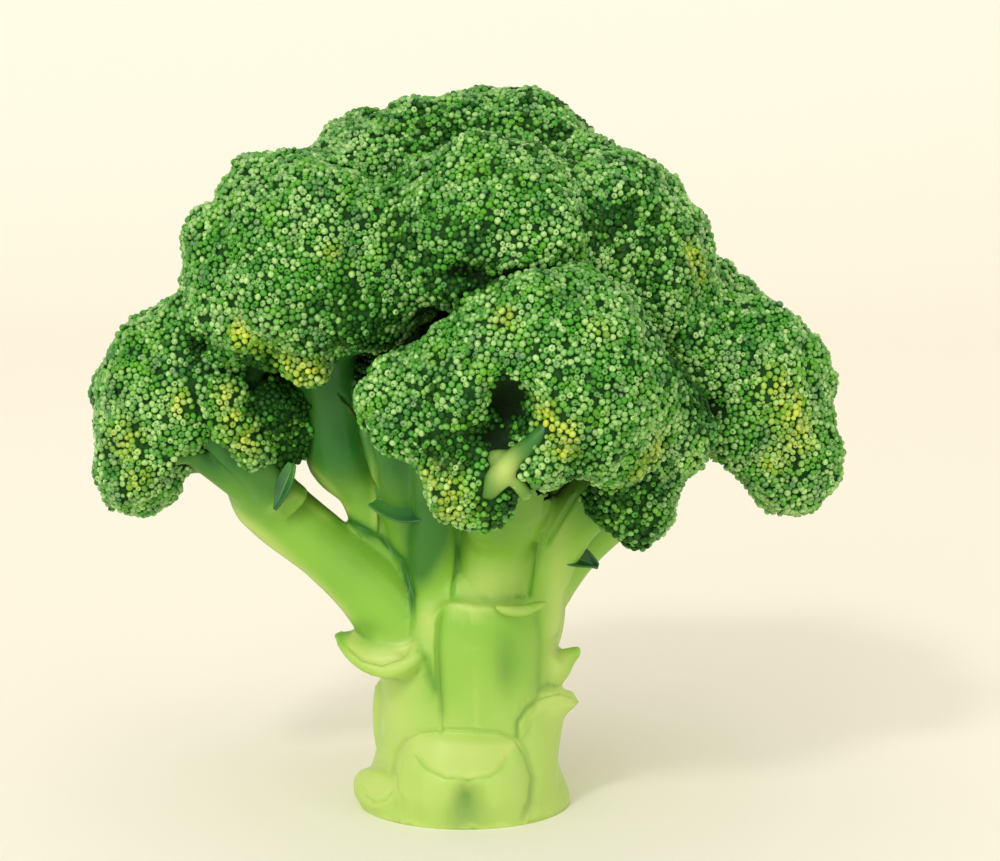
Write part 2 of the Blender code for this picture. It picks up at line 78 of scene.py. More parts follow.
# Trunk: (radius, height) down its outer side. It runs on below the cut and is trimmed there.
TRUNK_PROFILE = [
    (5, 58), (12, 55), (16, 50.5), (18.3, 44), (18.6, 36), (17.9, 24), (18.3, 14), (20.4, 6.5),
    (22.2, 2), (22.4, -5),
]
TRUNK_STEPS = 96

# Stubs of cut-off leaves: bearing in degrees (front is -90), height, half width, half height,
# how far the stub stands out, how far above its middle it is cut, the cut's slope and whether
# it shows a pale cut face.
LEAF_STUBS = [
    (-12, 32, 5.5, 7, 5, 0.5, 48, True),
    (-24, 42, 8, 20, 1.6, 12, 30, False),
    (52, 14, 11.5, 15, 5, 4, 42, True),
    (100, 6, 11, 11, 4.4, 3, 60, True),
    (74, 34, 11, 17, 4.4, 7, 35, True),
    (138, 17, 10, 17, 4.2, 6, 40, True),
    (122, 37, 9, 11, 6, 1, 40, True),
    (28, 42, 9, 15, 4.2, 4, 35, True),
]

# Leaf bases at the front, each lofted through sections at these bearings. A section runs from
# the top inner edge over the hollow face and the lip to the foot, as (outwards of the trunk, z).
LEAF_BASES = {
    "ledge": [
        (-168, [(5.5, 38.4), (8.4, 38.4), (10, 38.2), (9.4, 37), (4, 35.8)]),
        (-159, [(2, 38.6), (7.7, 37.9), (10.3, 36.8), (9.4, 35.4), (1, 33)]),
        (-150, [(1, 38.6), (6.6, 37.4), (9.9, 34.6), (8.8, 33.2), (-1, 30.8)]),
        (-142, [(0, 38.4), (4.9, 37.2), (8.6, 32.9), (7.6, 31.4), (-1, 29.6)]),
        (-134, [(-0.5, 38.4), (2.6, 37), (6.8, 32), (5.8, 30.8), (-1, 29.2)]),
        (-127, [(-1, 38.4), (1, 37.2), (5, 32.8), (4, 31.6), (-1, 30.2)]),
        (-120, [(-1, 38.4), (0.5, 37.6), (3, 34.8), (2.2, 33.6), (-1, 32.6)]),
        (-115, [(-1, 38.2), (0.1, 37.6), (0.9, 36.9), (0.6, 36), (-1, 35)]),
    ],
    "boss": [
        (-139, [(-1, 13), (-0.6, 12), (-0.2, 11), (-0.1, 9), (-0.4, 6), (-1, 2)]),
        (-131, [(-1, 17.4), (0.5, 16.6), (1.7, 14.5), (2.2, 11), (1.3, 6.5), (-0.8, 1.5)]),
        (-122, [(-1, 19.4), (0.7, 18.4), (2.8, 15.7), (3.7, 12), (2.6, 6.5), (-0.3, 1)]),
        (-111, [(-1, 20.2), (0.8, 19.3), (3.9, 12.7), (4.3, 10.8), (3, 6), (0, 1)]),
        (-99, [(-1, 20.6), (0.8, 19.6), (4.6, 11.2), (4.4, 9.6), (2.8, 5.6), (0, 0.8)]),
        (-88, [(-1, 20.5), (0.8, 19.6), (4.6, 10.9), (3.4, 9), (1.6, 5.2), (0, 0.8)]),
        (-77, [(-1, 20.4), (0.8, 19.5), (4.6, 11.4), (4.4, 9.6), (2.8, 5.6), (0, 0.8)]),
        (-68, [(-1, 20), (0.8, 18.9), (3.9, 12.9), (4.3, 10.8), (3, 6), (0, 1)]),
        (-59, [(-1, 18.8), (0.7, 17.6), (2.8, 15.6), (3.7, 12), (2.6, 6.5), (0, 0.6)]),
        (-51, [(-1, 15.6), (0.5, 14.5), (1.5, 12.6), (1.9, 10), (1.2, 6), (-0.3, 1)]),
        (-45, [(-1, 11.5), (-0.6, 11), (-0.2, 10), (-0.1, 8.6), (-0.4, 5), (-1, 1)]),
    ],
    "left_stub": [
        (-182, [(-1, 7), (1.6, 7), (2.4, 6), (1.6, 3), (0.4, 1), (-0.5, -1)]),
        (-172, [(-1, 8.6), (2.8, 7.6), (3.3, 5.4), (2, 2.6), (0.8, 1), (-0.5, -1)]),
        (-160, [(-1, 9.8), (2.9, 8.8), (3.2, 4.6), (2, 2.6), (0.8, 1), (-0.5, -1)]),
        (-150, [(-1, 10.2), (2.4, 9.3), (2.9, 4.6), (1.9, 2.9), (0.7, 1.4), (-0.5, -1)]),
        (-141, [(-1, 9.8), (1.4, 8.9), (2.4, 4.8), (1.6, 3.3), (0.5, 1.8), (-0.5, -1)]),
        (-134, [(-1, 9), (0.4, 8.2), (1.4, 6), (1, 4.6), (0.2, 3), (-0.5, -1)]),
        (-129, [(-1, 7.6), (-0.4, 7), (-0.1, 6.4), (-0.2, 5.6), (-0.4, 4), (-0.8, -1)]),
    ],
    "right_boss": [
        (-57, [(-1, 20), (-0.2, 17.5), (0.2, 15), (0.2, 12), (-0.2, 6), (-1, 1)]),
        (-52, [(-1, 22.6), (0.9, 21), (1.8, 18.5), (2, 14), (1, 6), (-0.8, 1)]),
        (-46, [(-1, 24.6), (1.4, 23.4), (2.6, 21), (2.7, 15), (1.4, 6), (-0.6, 1)]),
        (-36, [(-1, 26.4), (1.9, 25.5), (3.2, 22.6), (2.9, 16), (1.6, 7), (-0.5, 1)]),
        (-26, [(-1, 26.8), (3, 26), (4.4, 22.8), (3, 17.5), (1.4, 8), (-0.5, 1)]),
        (-16, [(-1, 26.6), (4.4, 25.4), (6.2, 22.8), (3.4, 19.4), (0.9, 10), (-0.5, 1)]),
        (-8, [(-1, 26), (5, 24.8), (6.4, 22.4), (3, 19.8), (0.4, 11), (-0.5, 1)]),
        (2, [(-1, 24.6), (2, 23.6), (2.6, 22), (1.2, 19.4), (0, 12), (-0.6, 1)]),
        (8, [(-1, 23), (-0.3, 22.6), (-0.2, 21.6), (-0.4, 20), (-0.6, 14), (-1, 1)]),
    ],
    "panel": [
        (-107.5, [(-1.5, 45.6), (-0.6, 44.6), (-0.4, 38), (-0.4, 24), (-1, 8)]),
        (-105, [(-1.5, 46.8), (1.1, 46.2), (1.4, 38), (1.4, 22), (-1, 6)]),
        (-97, [(-1.5, 47.7), (2.3, 47.2), (2, 38), (2, 22), (-1, 6)]),
        (-84, [(-1.5, 47.2), (2.9, 46.7), (2.4, 38), (2.4, 22), (-1, 6)]),
        (-68, [(-1.5, 46.6), (3.1, 46.2), (2.4, 38), (2.4, 22), (-1, 6)]),
        (-56, [(-1.5, 46.8), (2.8, 46.4), (2.4, 38), (2.4, 22), (-1, 6)]),
        (-44, [(-1.5, 46.8), (2, 46.4), (1.9, 38), (1.9, 22), (-1, 6)]),
        (-36, [(-1.5, 45.6), (0.6, 45), (0.6, 38), (0.6, 24), (-1, 8)]),
        (-32, [(-1.5, 44), (-0.4, 43), (-0.4, 38), (-0.4, 24), (-1, 8)]),
    ],
}
# The leaf bases that show a pale cut face.
CUT_BASES = ("ledge", "boss", "left_stub", "right_boss")
LOFT_STEPS, FACE_STEPS = 6, 9
# How deep a stub's ball is set in the trunk, and the share of its radius at a leaf base's back.
STUB_ROOT = 2.0
BASE_BACK = 0.62

# Pointed corners of the stubs and the rolled edge of the middle leaf base, as rows of x, y, z
# and radius.
HORNS = [
    [(17, -4, 29, 3.6), (21, -4.5, 32, 2.4), (24.4, -4.5, 34.2, 0.9)],
    [(-11, 13, 12, 4), (-14, 18, 16, 2.6), (-16, 21, 19.5, 1)],
    [(6.2, -21, 46.8, 0.6), (8.6, -21.4, 46, 1.3), (11.6, -20.6, 45.6, 1.4),
     (14.6, -18.8, 46.2, 1.2), (16.8, -16.4, 46.8, 0.6)],
]

# Dents in the front of the stalk: pixel of the photograph, half width and half height in
# pixels, and depth.
DENTS = [
    ((508, 668), (11, 34), 0.7), ((466, 796), (9, 18), 1), ((404, 653), (7, 5), 0.5),
    ((372, 790), (11, 9), 0.5), ((462, 756), (34, 12), 0.35),
]
# Edges where one leaf base overlaps another: pixels along the edge with the raised side on the
# left hand, how far it is raised and how wide the raised part is.
OVERLAPS = [
    ([(439, 742), (439, 712), (437, 682), (435, 649), (436, 624), (441, 606)], 0.7, 3),
    ([(409, 641), (412, 618), (411, 593), (401, 562), (381, 539), (352, 524)], 0.4, 3),
    ([(450, 600), (453, 572), (455, 542), (458, 520)], 0.6, 3),
    ([(537, 540), (534, 572), (530, 600)], 0.6, 3),
    ([(519, 820), (527, 800), (530, 778), (524, 756), (514, 740), (498, 734), (473, 732),
      (440, 731), (419, 733), (406, 741), (397, 754), (395, 769), (398, 789), (409, 808)], 0.35,
      3),
    ([(567, 717), (577, 712), (575, 699), (560, 694), (542, 698), (529, 710), (520, 723),
      (520, 741)], 0.35, 3),
    ([(513, 750), (503, 768), (490, 777), (478, 779), (468, 785), (458, 779), (445, 778),
      (425, 768), (411, 750)], 0.2, 3),
    ([(378, 536), (377, 500), (375, 468), (366, 436), (350, 408), (336, 392)], 0.8, 2.5),
    ([(544, 548), (560, 520), (576, 492)], 0.5, 3),
    ([(394, 790), (386, 802), (372, 805), (362, 797), (358, 784)], 0.3, 2),
    ([(412, 646), (402, 659), (382, 666), (362, 661), (347, 647)], 0.35, 2),
]
# How soft the step of an edge is, and the depth and width of the groove at its foot.
EDGE_SOFTNESS = 0.26
EDGE_GROOVE, GROOVE_WIDTH = 0.38, 0.5

# Tints of the stalk where the photograph shows them: pixel, half width and half height in
# pixels, and from -1, deep green, to 1, pale. The deep tints are partly painted shade, in
# hollows, beside raised edges and under the heads.
TINTS_AND_SHADE = [
    ((508, 668), (13, 40), -0.45), ((466, 806), (20, 30), -0.55), ((420, 560), (14, 34), -1),
    ((430, 530), (24, 36), -1.4), ((400, 465), (30, 44), -0.9), ((338, 445), (34, 32), -1.2),
    ((490, 588), (36, 24), 0.9), ((490, 535), (36, 20), -0.25), ((428, 622), (11, 26), 1),
    ((345, 378), (36, 26), -1.2), ((352, 628), (30, 10), -0.5), ((558, 640), (14, 110), 1),
    ((462, 757), (50, 20), 0.6), ((398, 700), (30, 50), 0.8), ((565, 704), (20, 12), 0.9),
    ((378, 656), (40, 12), 0.7), ((225, 455), (42, 28), -1.2), ((272, 490), (26, 16), -0.6),
    ((505, 470), (16, 22), 1), ((600, 500), (26, 22), -0.6), ((500, 700), (30, 20), 0.2),
    ((470, 606), (24, 7), 0.8), ((520, 608), (18, 6), 0.6), ((378, 790), (18, 12), 0.7),
    ((430, 790), (22, 18), 0.35), ((500, 795), (16, 16), 0.2), ((340, 575), (26, 30), -0.15),
]
# Narrow tints along lines of pixels, with their half width in pixels. The deep lines are
# painted shade in grooves and under raised edges.
TINT_AND_SHADE_LINES = [
    ([(336, 512), (381, 537), (403, 562), (412, 593), (413, 618)], 4.5, -0.9),
    ([(443, 606), (440, 624), (439, 649), (441, 682), (443, 720)], 4.5, -0.45),
    ([(536, 610), (541, 640), (539, 690)], 4, -0.35),
    ([(453, 598), (456, 572), (458, 542)], 3.5, -0.5),
    ([(531, 598), (535, 572), (540, 545)], 3.5, -0.45),
    ([(205, 492), (260, 535), (320, 590), (352, 622)], 7, 0.9),
    ([(303, 458), (330, 488), (352, 520)], 5, 0.8),
    ([(338, 392), (362, 425), (374, 468), (376, 530)], 4.5, 0.9),
    ([(296, 470), (340, 512), (374, 540)], 3.5, -0.7),
    ([(414, 642), (427, 660), (434, 694)], 5, -0.8),
    ([(545, 545), (560, 520), (574, 492)], 3.5, -0.5),
    ([(266, 512), (296, 495), (330, 520)], 5, 0.5),
    ([(392, 790), (393, 768), (396, 752), (407, 738), (420, 730)], 3, -0.35),
    ([(516, 738), (527, 754), (533, 778), (530, 800), (522, 820)], 3.5, -0.35),
    ([(517, 741), (517, 722), (526, 708), (540, 696)], 3.5, -0.4),
]

# Stems that the photograph shows below and inside the heads, as rows of pixel across, pixel
# down, Y and radius.
SEEN_STEMS = [
    [(430, 600, -3.5, 6.5), (424, 560, -7, 6.5), (414, 500, -13.5, 6.8), (402, 440, -20, 8),
     (388, 380, -22, 8)],
    [(292, 508, -13, 4), (248, 470, -16, 3), (204, 432, -19, 2.2)],
    [(296, 502, -14, 3.6), (262, 466, -18, 2.6), (236, 430, -22, 2)],
    [(286, 518, -11, 4), (236, 482, -13, 3.2), (190, 452, -15, 2.4)],
]

# Stems that cross the front of the buds: pixel across and down, how far the stem's middle lies
# in front of the skin of the head there, and radius.
CROSSING_STEMS = [
    [(552, 424, -2.5, 1.6), (534, 442, -0.4, 1.9), (514, 460, -0.1, 2.3), (500, 476, -0.3, 2.5),
     (486, 492, -3, 2.2)],
    [(516, 458, -0.8, 1.6), (496, 456, -0.2, 1.4), (478, 462, -2.5, 1.2)],
    [(506, 470, -0.8, 1.7), (518, 484, -0.2, 1.5), (528, 498, -2.5, 1.3)],
]

# Small leaves: root, tip, width, the side that the cupped face looks to, how much the leaf bends
# back and how deep its cup is. The first ones' root and tip are pixels with their Y.
SEEN_LEAVES = [
    ((541, 545, -14), (600, 562, -15), 6.5, (0, -0.75, 0.65), 0.22, 0.34),
    ((376, 498, -17), (446, 512, -26), 8.5, (0.1, -0.95, 0.3), 0.12, 0.30),
    ((294, 464, -19.5), (274, 510, -20), 4, (-0.6, -0.8, 0.1), 0.05, 0.22),
]
BACK_LEAVES = [
    ((26, 17, 59), (37, 20, 59), 6.5, (0.2, 0.2, 0.9), 0.18, 0.22),
    ((-6, 17, 52), (-12, 28, 57), 7, (-0.2, -0.2, 0.9), 0.18, 0.22),
]
LEAF_THICKNESS = 0.55
LEAF_ROWS, LEAF_COLUMNS = 28, 13

# Florets: centre and radius of the dome, and its branch as (x, y, z, radius).
FLORETS = {
    "front": ((16, -42, 95), 24.5,
              [(4, -4, 34, 10), (6, -8.5, 49, 8.4), (7, -13, 60, 8.2), (9.5, -22, 71, 9)]),
    "front_left": ((-8.5, -41, 91), 12,
                   [(-5, -8, 38, 6), (-6.5, -12, 52, 5), (-6, -24, 70, 4.4)]),
    "front_low": ((2, -46.5, 77), 10, [(6, -16, 60, 5), (4, -29, 67, 4)]),
    "front_right": ((38, -31, 85.5), 12,
                    [(13, -6, 40, 7), (16, -10, 53, 6), (21, -15, 63, 5.8), (29, -22, 73, 5.2)]),
    "front_tail": ((33, -28, 70), 10, [(15.5, -9, 50, 6), (21, -15, 60, 5)]),
    "centre": ((6, -27.5, 121), 21.5,
               [(-2, -2, 40, 11), (-2, -4, 64, 9.5), (0, -10, 86, 7.5), (3, -20, 104, 6)]),
    "left_upper": ((-31, -13, 112), 26.5,
                   [(-5, -1, 38, 8.5), (-12, -4, 51, 6.5), (-19, -7.5, 60, 3.6),
                    (-21.7, -9, 68.5, 4.6), (-25.4, -10, 75.5, 7.2)]),
    "left_low": ((-55.5, -5, 87), 21.5,
                 [(-7, -4, 30, 9.5), (-15.6, -7, 42.6, 8.2), (-21.3, -8, 49.6, 7.5),
                  (-28.8, -8, 56.2, 6.8), (-41.5, -8, 67.2, 7.3)]),
    "left_inner": ((-44.5, -23, 85), 9.5, [(-36, -9, 62, 5.2), (-41, -15, 72, 4.2)]),
    "top_left": ((-15.5, 3, 123), 23.5, [(-2, 1, 50, 8), (-8, 2, 74, 7.5), (-13, 3, 98, 7)]),
    "top": ((8, 8, 127.5), 24, [(1, 2, 54, 9), (4, 5, 80, 8), (7, 7, 102, 7.5)]),
    "right_upper": ((25, -5, 114.5), 26.5,
                    [(6, 0, 46, 8.5), (14, -2, 66, 7.5), (21, -4, 86, 7.5)]),
    "right_low": ((56, -2, 87.5), 21, [(9, 1, 38, 8.5), (22, 0, 56, 7.2), (38, -1, 70, 7)]),
    "back_left": ((-47, 27, 92), 22.5, [(-5, 7, 40, 9), (-11, 15, 58, 7.6), (-21, 23, 76, 7)]),
    "back_right": ((47, 28, 92), 22.5, [(6, 7, 36, 9), (18, 13, 54, 7.6), (33, 20, 70, 7.2)]),
    "back": ((-1, 45, 94), 24, [(0, 8, 34, 9.5), (0, 18, 54, 8.4), (-1, 29, 71, 8)]),
    "back_upper_left": ((-18, 28, 114), 23, [(-3, 7, 50, 8), (-9, 14, 74, 7), (-14, 22, 94, 6.5)]),
    "back_upper_right": ((20, 28, 113), 23, [(4, 7, 50, 8), (11, 14, 74, 7), (16, 22, 93, 6.5)]),
    "back_low_left": ((-26, 50, 76), 13,
                      [(-7, 10, 40, 6.5), (-13, 24, 53, 5.2), (-19, 37, 63, 5)]),
    "back_low_right": ((26, 51, 75), 13,
                       [(7, 10, 40, 6.5), (13, 24, 53, 5.2), (19, 37, 62, 5)]),
}

CENTRES = {name: np.array(centre, float) for name, (centre, _, _) in FLORETS.items()}

# Seat of a floret on its branch and the flare before it, as shares of the dome's radius.
SEAT_DEPTH, SEAT_RADIUS, FLARE_LENGTH = 0.45, 0.40, 0.42
# Millimetres between branch and seat: below it, and round it.
SEAT_GAP, FLARE_CLEARANCE = 0.35, 1.2
# The widest neck, as a share of its flare.
NECK_SHARE = 0.8

# Skin of the florets and of the stalk: size of the remesh and steps of smoothing.
HEAD_VOXEL, HEAD_SMOOTHING = 0.9, 14
STALK_VOXEL, STALK_SMOOTHING = 0.65, 6
MOST_STALK_FACES = 195000
# What lies deeper in a head than this is taken away; a head is looked for this far off.
HIDDEN_DEPTH, HIDDEN_REACH = 2.2, 30
# The skin is split in this many cuts where a line of the photograph is this near.
REFINED_PIXELS, REFINED_CUTS = 8, 2
# The columns of the photograph that show the stalk. Pairs like SEEN are the ends of a soft step.
STALK_PIXELS = (150, 700)
SIGHT_STEPS, SIGHT_LENGTH, SIGHT_LIFT = 6, 90, 0.3
SEEN, FACING = (0.2, 0.8), (0.0, 0.3)
# Grooves and edges are where the skin lies under or over its own evened self; the grooves
# get painted shade, a darker green.
HOLLOW_STEPS = (8, 70)
FINE_GROOVE_SHADE, WIDE_GROOVE_SHADE, FINE_EDGE = (0.03, 0.2), (0.1, 1.4), (0.09, 0.25)
GROOVE_SHADE_SHARE = 0.6
# The rim of a cut face, as shares of its size, and how far from the face the skin still counts.
STUB_RIM, STUB_SKIN = (0.8, 1), (0.25, 0.8)
BASE_RIM, BASE_SKIN = (0.15, 0.5), (0.7, 1.5)

# Little stems under a dome: from the neck to its underside.
STEM_SPACING = 3.6
# Shares of the dome's radius: the stems' own radius, how far their start and middle lie off the
# branch, and how far out they end.
STEM_RADIUS = (0.12, 0.16)
STEM_START, STEM_MIDDLE, STEM_END = 0.10, 0.27, 0.9
STEM_END_ANGLE = 66.0
ANY_WAY = (0.31, 0.52, 0.79)
# Degrees from the seat between which the dome is drawn in, and by what share.
UNDER_START, UNDER_END = 52.0, 76.0
UNDER_TUCK = 0.13

# Groups of florets that share one skin, and how wide a groove between them is filled.
CROWN_GROUPS = [
    (("left_upper", "left_low", "top_left", "top", "centre", "right_upper", "right_low",
      "back_left", "back_right", "back", "back_upper_left", "back_upper_right",
      "back_low_left", "back_low_right"), 6),
    (("front", "front_left", "front_low", "front_right", "front_tail"), 5),
    (("left_inner",), 0),
]
# Clumps of buds that hang from the rim of a floret's dome or take the place of the dome, as
# pixel across, pixel down, Y and radius.
RIM_CLUMPS = {"left_upper": [(250, 332, -31, 4.6), (280, 347, -31, 4.6), (308, 366, -30, 4.6)]}
BUNCHES = {
    "left_inner": [
        (222, 395, -24, 5.2), (238, 425, -24, 5.2), (252, 447, -23, 4.6), (267, 411, -18, 5.8),
        (290, 410, -14, 6), (300, 430, -13, 5.2), (280, 449, -15, 4.8),
    ],
}
SWELL = 0.4

# Noise: the number of waves, how their lengths spread, and the height that counts as 1.
WAVE_NUMBER = 7
WAVE_SPREAD = (0.75, 1.35)
WAVE_HEIGHT = 3.2
# Lumps of the skins: height, length and seed.
LUMPS = [(0.7, 13, 11), (0.55, 6.5, 12)]

# Hollows between buds: pixel of the photograph, half width and half height in pixels, the Y
# of the skin there, the depth, and how bare of buds it is. A bare hollow shows the core with
# painted shade.
HOLLOWS = [
    ((468, 273), (27, 11), -38, 6, 0.98), ((509, 404), (25, 32), -62, 13, 1),
    ((490, 436), (26, 12), -61, 6, 1), ((506, 456), (24, 14), -58, 3.5, 1),
    ((275, 355), (26, 18), -26, 5, 0.3), ((714, 405), (16, 14), -16, 5, 0.98),
    ((405, 335), (8, 40), -30, 2.5, 0), ((200, 346), (15, 12), -18, 5, 0.98),
    ((645, 320), (12, 60), -26, 2.5, 0), ((585, 460), (14, 8), -52, 3.5, 0.5),
    ((455, 330), (10, 8), -50, 1.5, 0.3),
]
# How far behind its Y a hollow still presses the skin in.
HOLLOW_REACH = 8
# Painted shade on the buds, in hollows, under rims and over the crown's top: pixel, width in
# millimetres and strength.
SHADED_SPOTS = [
    ((285, 400), 9, 0.9), ((262, 365), 5, 0.9), ((300, 440), 6, 0.8), ((200, 346), 4.5, 0.9),
    ((512, 400), 7, 0.8), ((478, 438), 5, 0.8), ((435, 415), 7, 0.4), ((578, 456), 6, 0.5),
    ((466, 272), 7, 1), ((370, 365), 8, 0.5), ((610, 500), 8, 0.5), ((510, 500), 5, 0.6),
    ((700, 400), 7, 0.6), ((600, 215), 6, 0.5), ((410, 250), 7, 0.4), ((660, 350), 7, 0.4),
    ((630, 540), 5, 0.6), ((350, 340), 9, 0.3), ((500, 120), 28, 0.16), ((650, 230), 22, 0.12),
    ((300, 405), 7, 0.9), ((315, 440), 5, 0.8), ((275, 378), 6, 1), ((250, 358), 3, 0.8),
]
# Ripe, yellow buds: pixel of the photograph, width in millimetres and strength.
RIPE_SPOTS = [
    ((240, 333), 2.4, 1), ((262, 346), 2, 0.6), ((290, 362), 2.6, 0.75), ((308, 374), 3, 0.8),
    ((325, 386), 2.4, 0.7), ((228, 395), 2.6, 0.5), ((232, 418), 2.4, 0.55), ((247, 442), 3, 0.6),
    ((548, 420), 3.2, 0.9), ((566, 432), 2.4, 0.8), ((562, 450), 2.4, 0.6), ((448, 492), 3.6, 0.5),
    ((432, 478), 2.6, 0.6), ((452, 512), 2.6, 0.7), ((690, 258), 2.6, 0.9), ((700, 272), 2.4, 0.5),
    ((792, 410), 4.2, 0.7), ((802, 436), 4, 0.65), ((778, 385), 3.6, 0.5), ((775, 460), 3, 0.5),
    ((125, 440), 3.6, 0.5), ((180, 405), 2.6, 0.6), ((505, 318), 2, 0.6), ((655, 450), 3, 0.6),
    ((640, 470), 2.4, 0.5), ((140, 480), 3, 0.4), ((330, 250), 2.4, 0.3), ((600, 330), 2.4, 0.3),
]

# Buds: radius, the least distance of two as a share of their radii, and the places that are
# tried for each square millimetre.
BUD_LARGEST, BUD_SMALLEST = 0.80, 0.44
BUD_CLOSENESS = 0.74
BUD_TRIES = 30
# Degrees from the seat at which buds begin. Clumps have them all round.
BUDS_FROM_ANGLE = 58.0
OTHER_BUD_ANGLES = {"left_inner": 10.0, "left_low": 46.0}
CLUMP_MARGIN = 1.5
# A bud's sides and its rings as radius, height and paleness, and how sizes vary. The
# paleness is the pale shoulder of the bud's sepals, with painted shade low on its sides where
# buds crowd together.
BUD_SEGMENTS = 7
BUD_RINGS = [(0, -0.80, 0), (0.82, -0.45, 0.1), (1, 0.05, 0.55), (0.84, 0.56, 1),
             (0.46, 0.86, 1), (0, 0.92, 0.95)]
LEAST_SIZE, MOST_SIZE = (0.88, 0.88, 0.85), (1.12, 1.12, 1.2)
# The share of open buds, and how low the middle of one lies; that middle is painted dark,
# painted shade in the dimple.
OPEN_BUDS, OPEN_DIMPLE = 0.42, 0.15
BUD_TILT = 0.22
# How far a bud is lifted off the skin, and the spread of it, less for the buds of large radius.
BUD_LIFT, LIFT_SPREAD = 0.15, (-0.5, 0.4)
LARGE_BUD, LARGE_SHARE = 0.75, 0.4
# A bud is left out where another skin is this near above it or, by this share, beside it.
OTHER_HEAD_NEAR, STALK_NEAR, NEAR_SHARE = 2.2, 1.0, 0.45
# How bare a hollow is, as ends of a soft step, and how ripeness varies and lifts the tone.
BARE = (0.2, 0.5)
RIPE_MIDDLE, RIPE_SPREAD, RIPE_LIMITS = 0.75, 0.35, (0.1, 1.2)
RIPE_TONE = 0.55
# Length and seed of the waves that move the edge of the buds, leave gaps, vary the tone and
# make dark tufts, with the amounts that go with them.
SEAT_WAVES, SEAT_SWING = (7, 5), 6
GAP_WAVES, GAPS_ABOVE, GAP_SHARE = (2.4, 31), 0.7, 0.6
TONE_WAVES, TONE, TONE_WAVE, TONE_SPREAD = (18, 21), 0.51, 0.20, 0.29
TUFT_WAVES, DARK_TUFTS = (4.6, 41), 0.45


# Numbers and the photograph's view.


def smooth_step(low, high, value):
    share = np.clip((value - low) / (high - low), 0, 1)
    return share * share * (3 - 2 * share)


def unit(vector):
    return vector / np.linalg.norm(vector, axis=-1, keepdims=True)


def dots(first, second):
    """The dot product of each pair of rows."""
    return np.einsum("ij,ij->i", first, second)


def picked(which, *rows):
    """The same rows of each array."""
    return [row[which] for row in rows]


FORWARD = unit(CAMERA_TARGET - CAMERA_PLACE)
RIGHT = np.array((1.0, 0.0, 0.0))
UP = np.cross(RIGHT, FORWARD)


def to_photo(places):
    """The pixels of the photograph at which these points are seen."""
    away = places - CAMERA_PLACE
    depth = away @ FORWARD
    across = PHOTO_WIDTH / 2 + PIXELS * (away @ RIGHT) / depth
    down = PHOTO_HEIGHT / 2 - PIXELS * (away @ UP) / depth
    return np.stack([across, down], axis=-1)


def to_camera(places):
    return unit(CAMERA_PLACE - places)


def photo_ray(across, down):
    """The way from the camera through a pixel of the photograph."""
    way = FORWARD + RIGHT * (across - PHOTO_WIDTH / 2) / PIXELS
    return unit(way + UP * (PHOTO_HEIGHT / 2 - down) / PIXELS)


def photo_place(across, down, y):
    """The point at this Y that is seen at a pixel of the photograph."""
    way = photo_ray(across, down)
    return CAMERA_PLACE + way * (y - CAMERA_PLACE[1]) / way[1]


def waves(places, length, seed):
    """Smooth noise from -1 to 1 with about this wavelength."""
    draw = np.random.default_rng(seed)
    total = np.zeros(len(places))
    for _ in range(WAVE_NUMBER):
        way = unit(draw.normal(size=3)) * 2 * math.pi / (length * draw.uniform(*WAVE_SPREAD))
        total += np.sin(places @ way + draw.uniform(0, 2 * math.pi))
    return np.clip(total / WAVE_HEIGHT, -1, 1)


def pixel_spot(pixels, middle, size):
    """A soft spot of the photograph: 1 at its middle, fading at its half width and height."""
    off = (pixels - middle) / size
    return np.exp(-(off**2).sum(axis=1))


# Mesh helpers.


def new_object(name, data):
    made = bpy.data.objects.new(name, data)
    bpy.context.scene.collection.objects.link(made)
    return made


def mesh_of(bm, name="part"):
    mesh = bpy.data.meshes.new(name)
    bm.to_mesh(mesh)
    bm.free()
    return mesh


@contextmanager
def edited(mesh):
    """The mesh for bmesh to edit, written back at the end."""
    bm = bmesh.new()
    bm.from_mesh(mesh)
    yield bm
    bm.to_mesh(mesh)
    bm.free()


def modified(data, *modifiers):
    """The mesh that modifiers, each a kind and its settings, make of a mesh or a curve."""
    holder = new_object(data.name, data)
    for kind, settings in modifiers:
        added = holder.modifiers.new(kind.lower(), kind)
        for setting, value in settings.items():
            setattr(added, setting, value)
    graph = bpy.context.evaluated_depsgraph_get()
    mesh = bpy.data.meshes.new_from_object(holder.evaluated_get(graph), depsgraph=graph)
    bpy.data.objects.remove(holder, do_unlink=True)
    return mesh


def voxels(size):
    return "REMESH", dict(mode="VOXEL", voxel_size=size * MM)


def softened(steps):
    return "SMOOTH", dict(factor=0.5, iterations=steps)


def swollen(distance):
    return "DISPLACE", dict(strength=distance * MM, mid_level=0.0)


def rows_of(items, key, kind=np.float32, width=3):
    """One array of a mesh's data, with a row for each item."""
    flat = np.empty(len(items) * width, kind)
    items.foreach_get(key, flat)
    return flat.reshape(-1, width)


def places_of(mesh):
    return rows_of(mesh.vertices, "co").astype(float) / MM


def normals_of(mesh):
    return rows_of(mesh.vertex_normals, "vector").astype(float)


def triangles_of(mesh):
    mesh.calc_loop_triangles()
    return rows_of(mesh.loop_triangles, "vertices", np.int32)


def set_places(mesh, places):
    mesh.vertices.foreach_set("co", (places * MM).astype(np.float32).ravel())


def move_points(mesh, places):
    set_places(mesh, places)
    mesh.update()


def tree_of(places, triangles):
    return BVHTree.FromPolygons([Vector(place) for place in places], triangles.tolist())


def mesh_from_arrays(name, places, corners, counts):
    """A mesh from points, the corners of its faces in a row and each face's number of corners."""
    mesh = bpy.data.meshes.new(name)
    mesh.vertices.add(len(places))
    mesh.loops.add(len(corners))
    mesh.polygons.add(len(counts))
    set_places(mesh, places)
    mesh.loops.foreach_set("vertex_index", corners.astype(np.int32))
    starts = np.concatenate([[0], np.cumsum(counts)[:-1]])
    mesh.polygons.foreach_set("loop_start", starts.astype(np.int32))
    smooth_faces(mesh)
    mesh.update(calc_edges=True)
    return mesh


def smooth_faces(mesh):
    mesh.polygons.foreach_set("use_smooth", np.ones(len(mesh.polygons), bool))


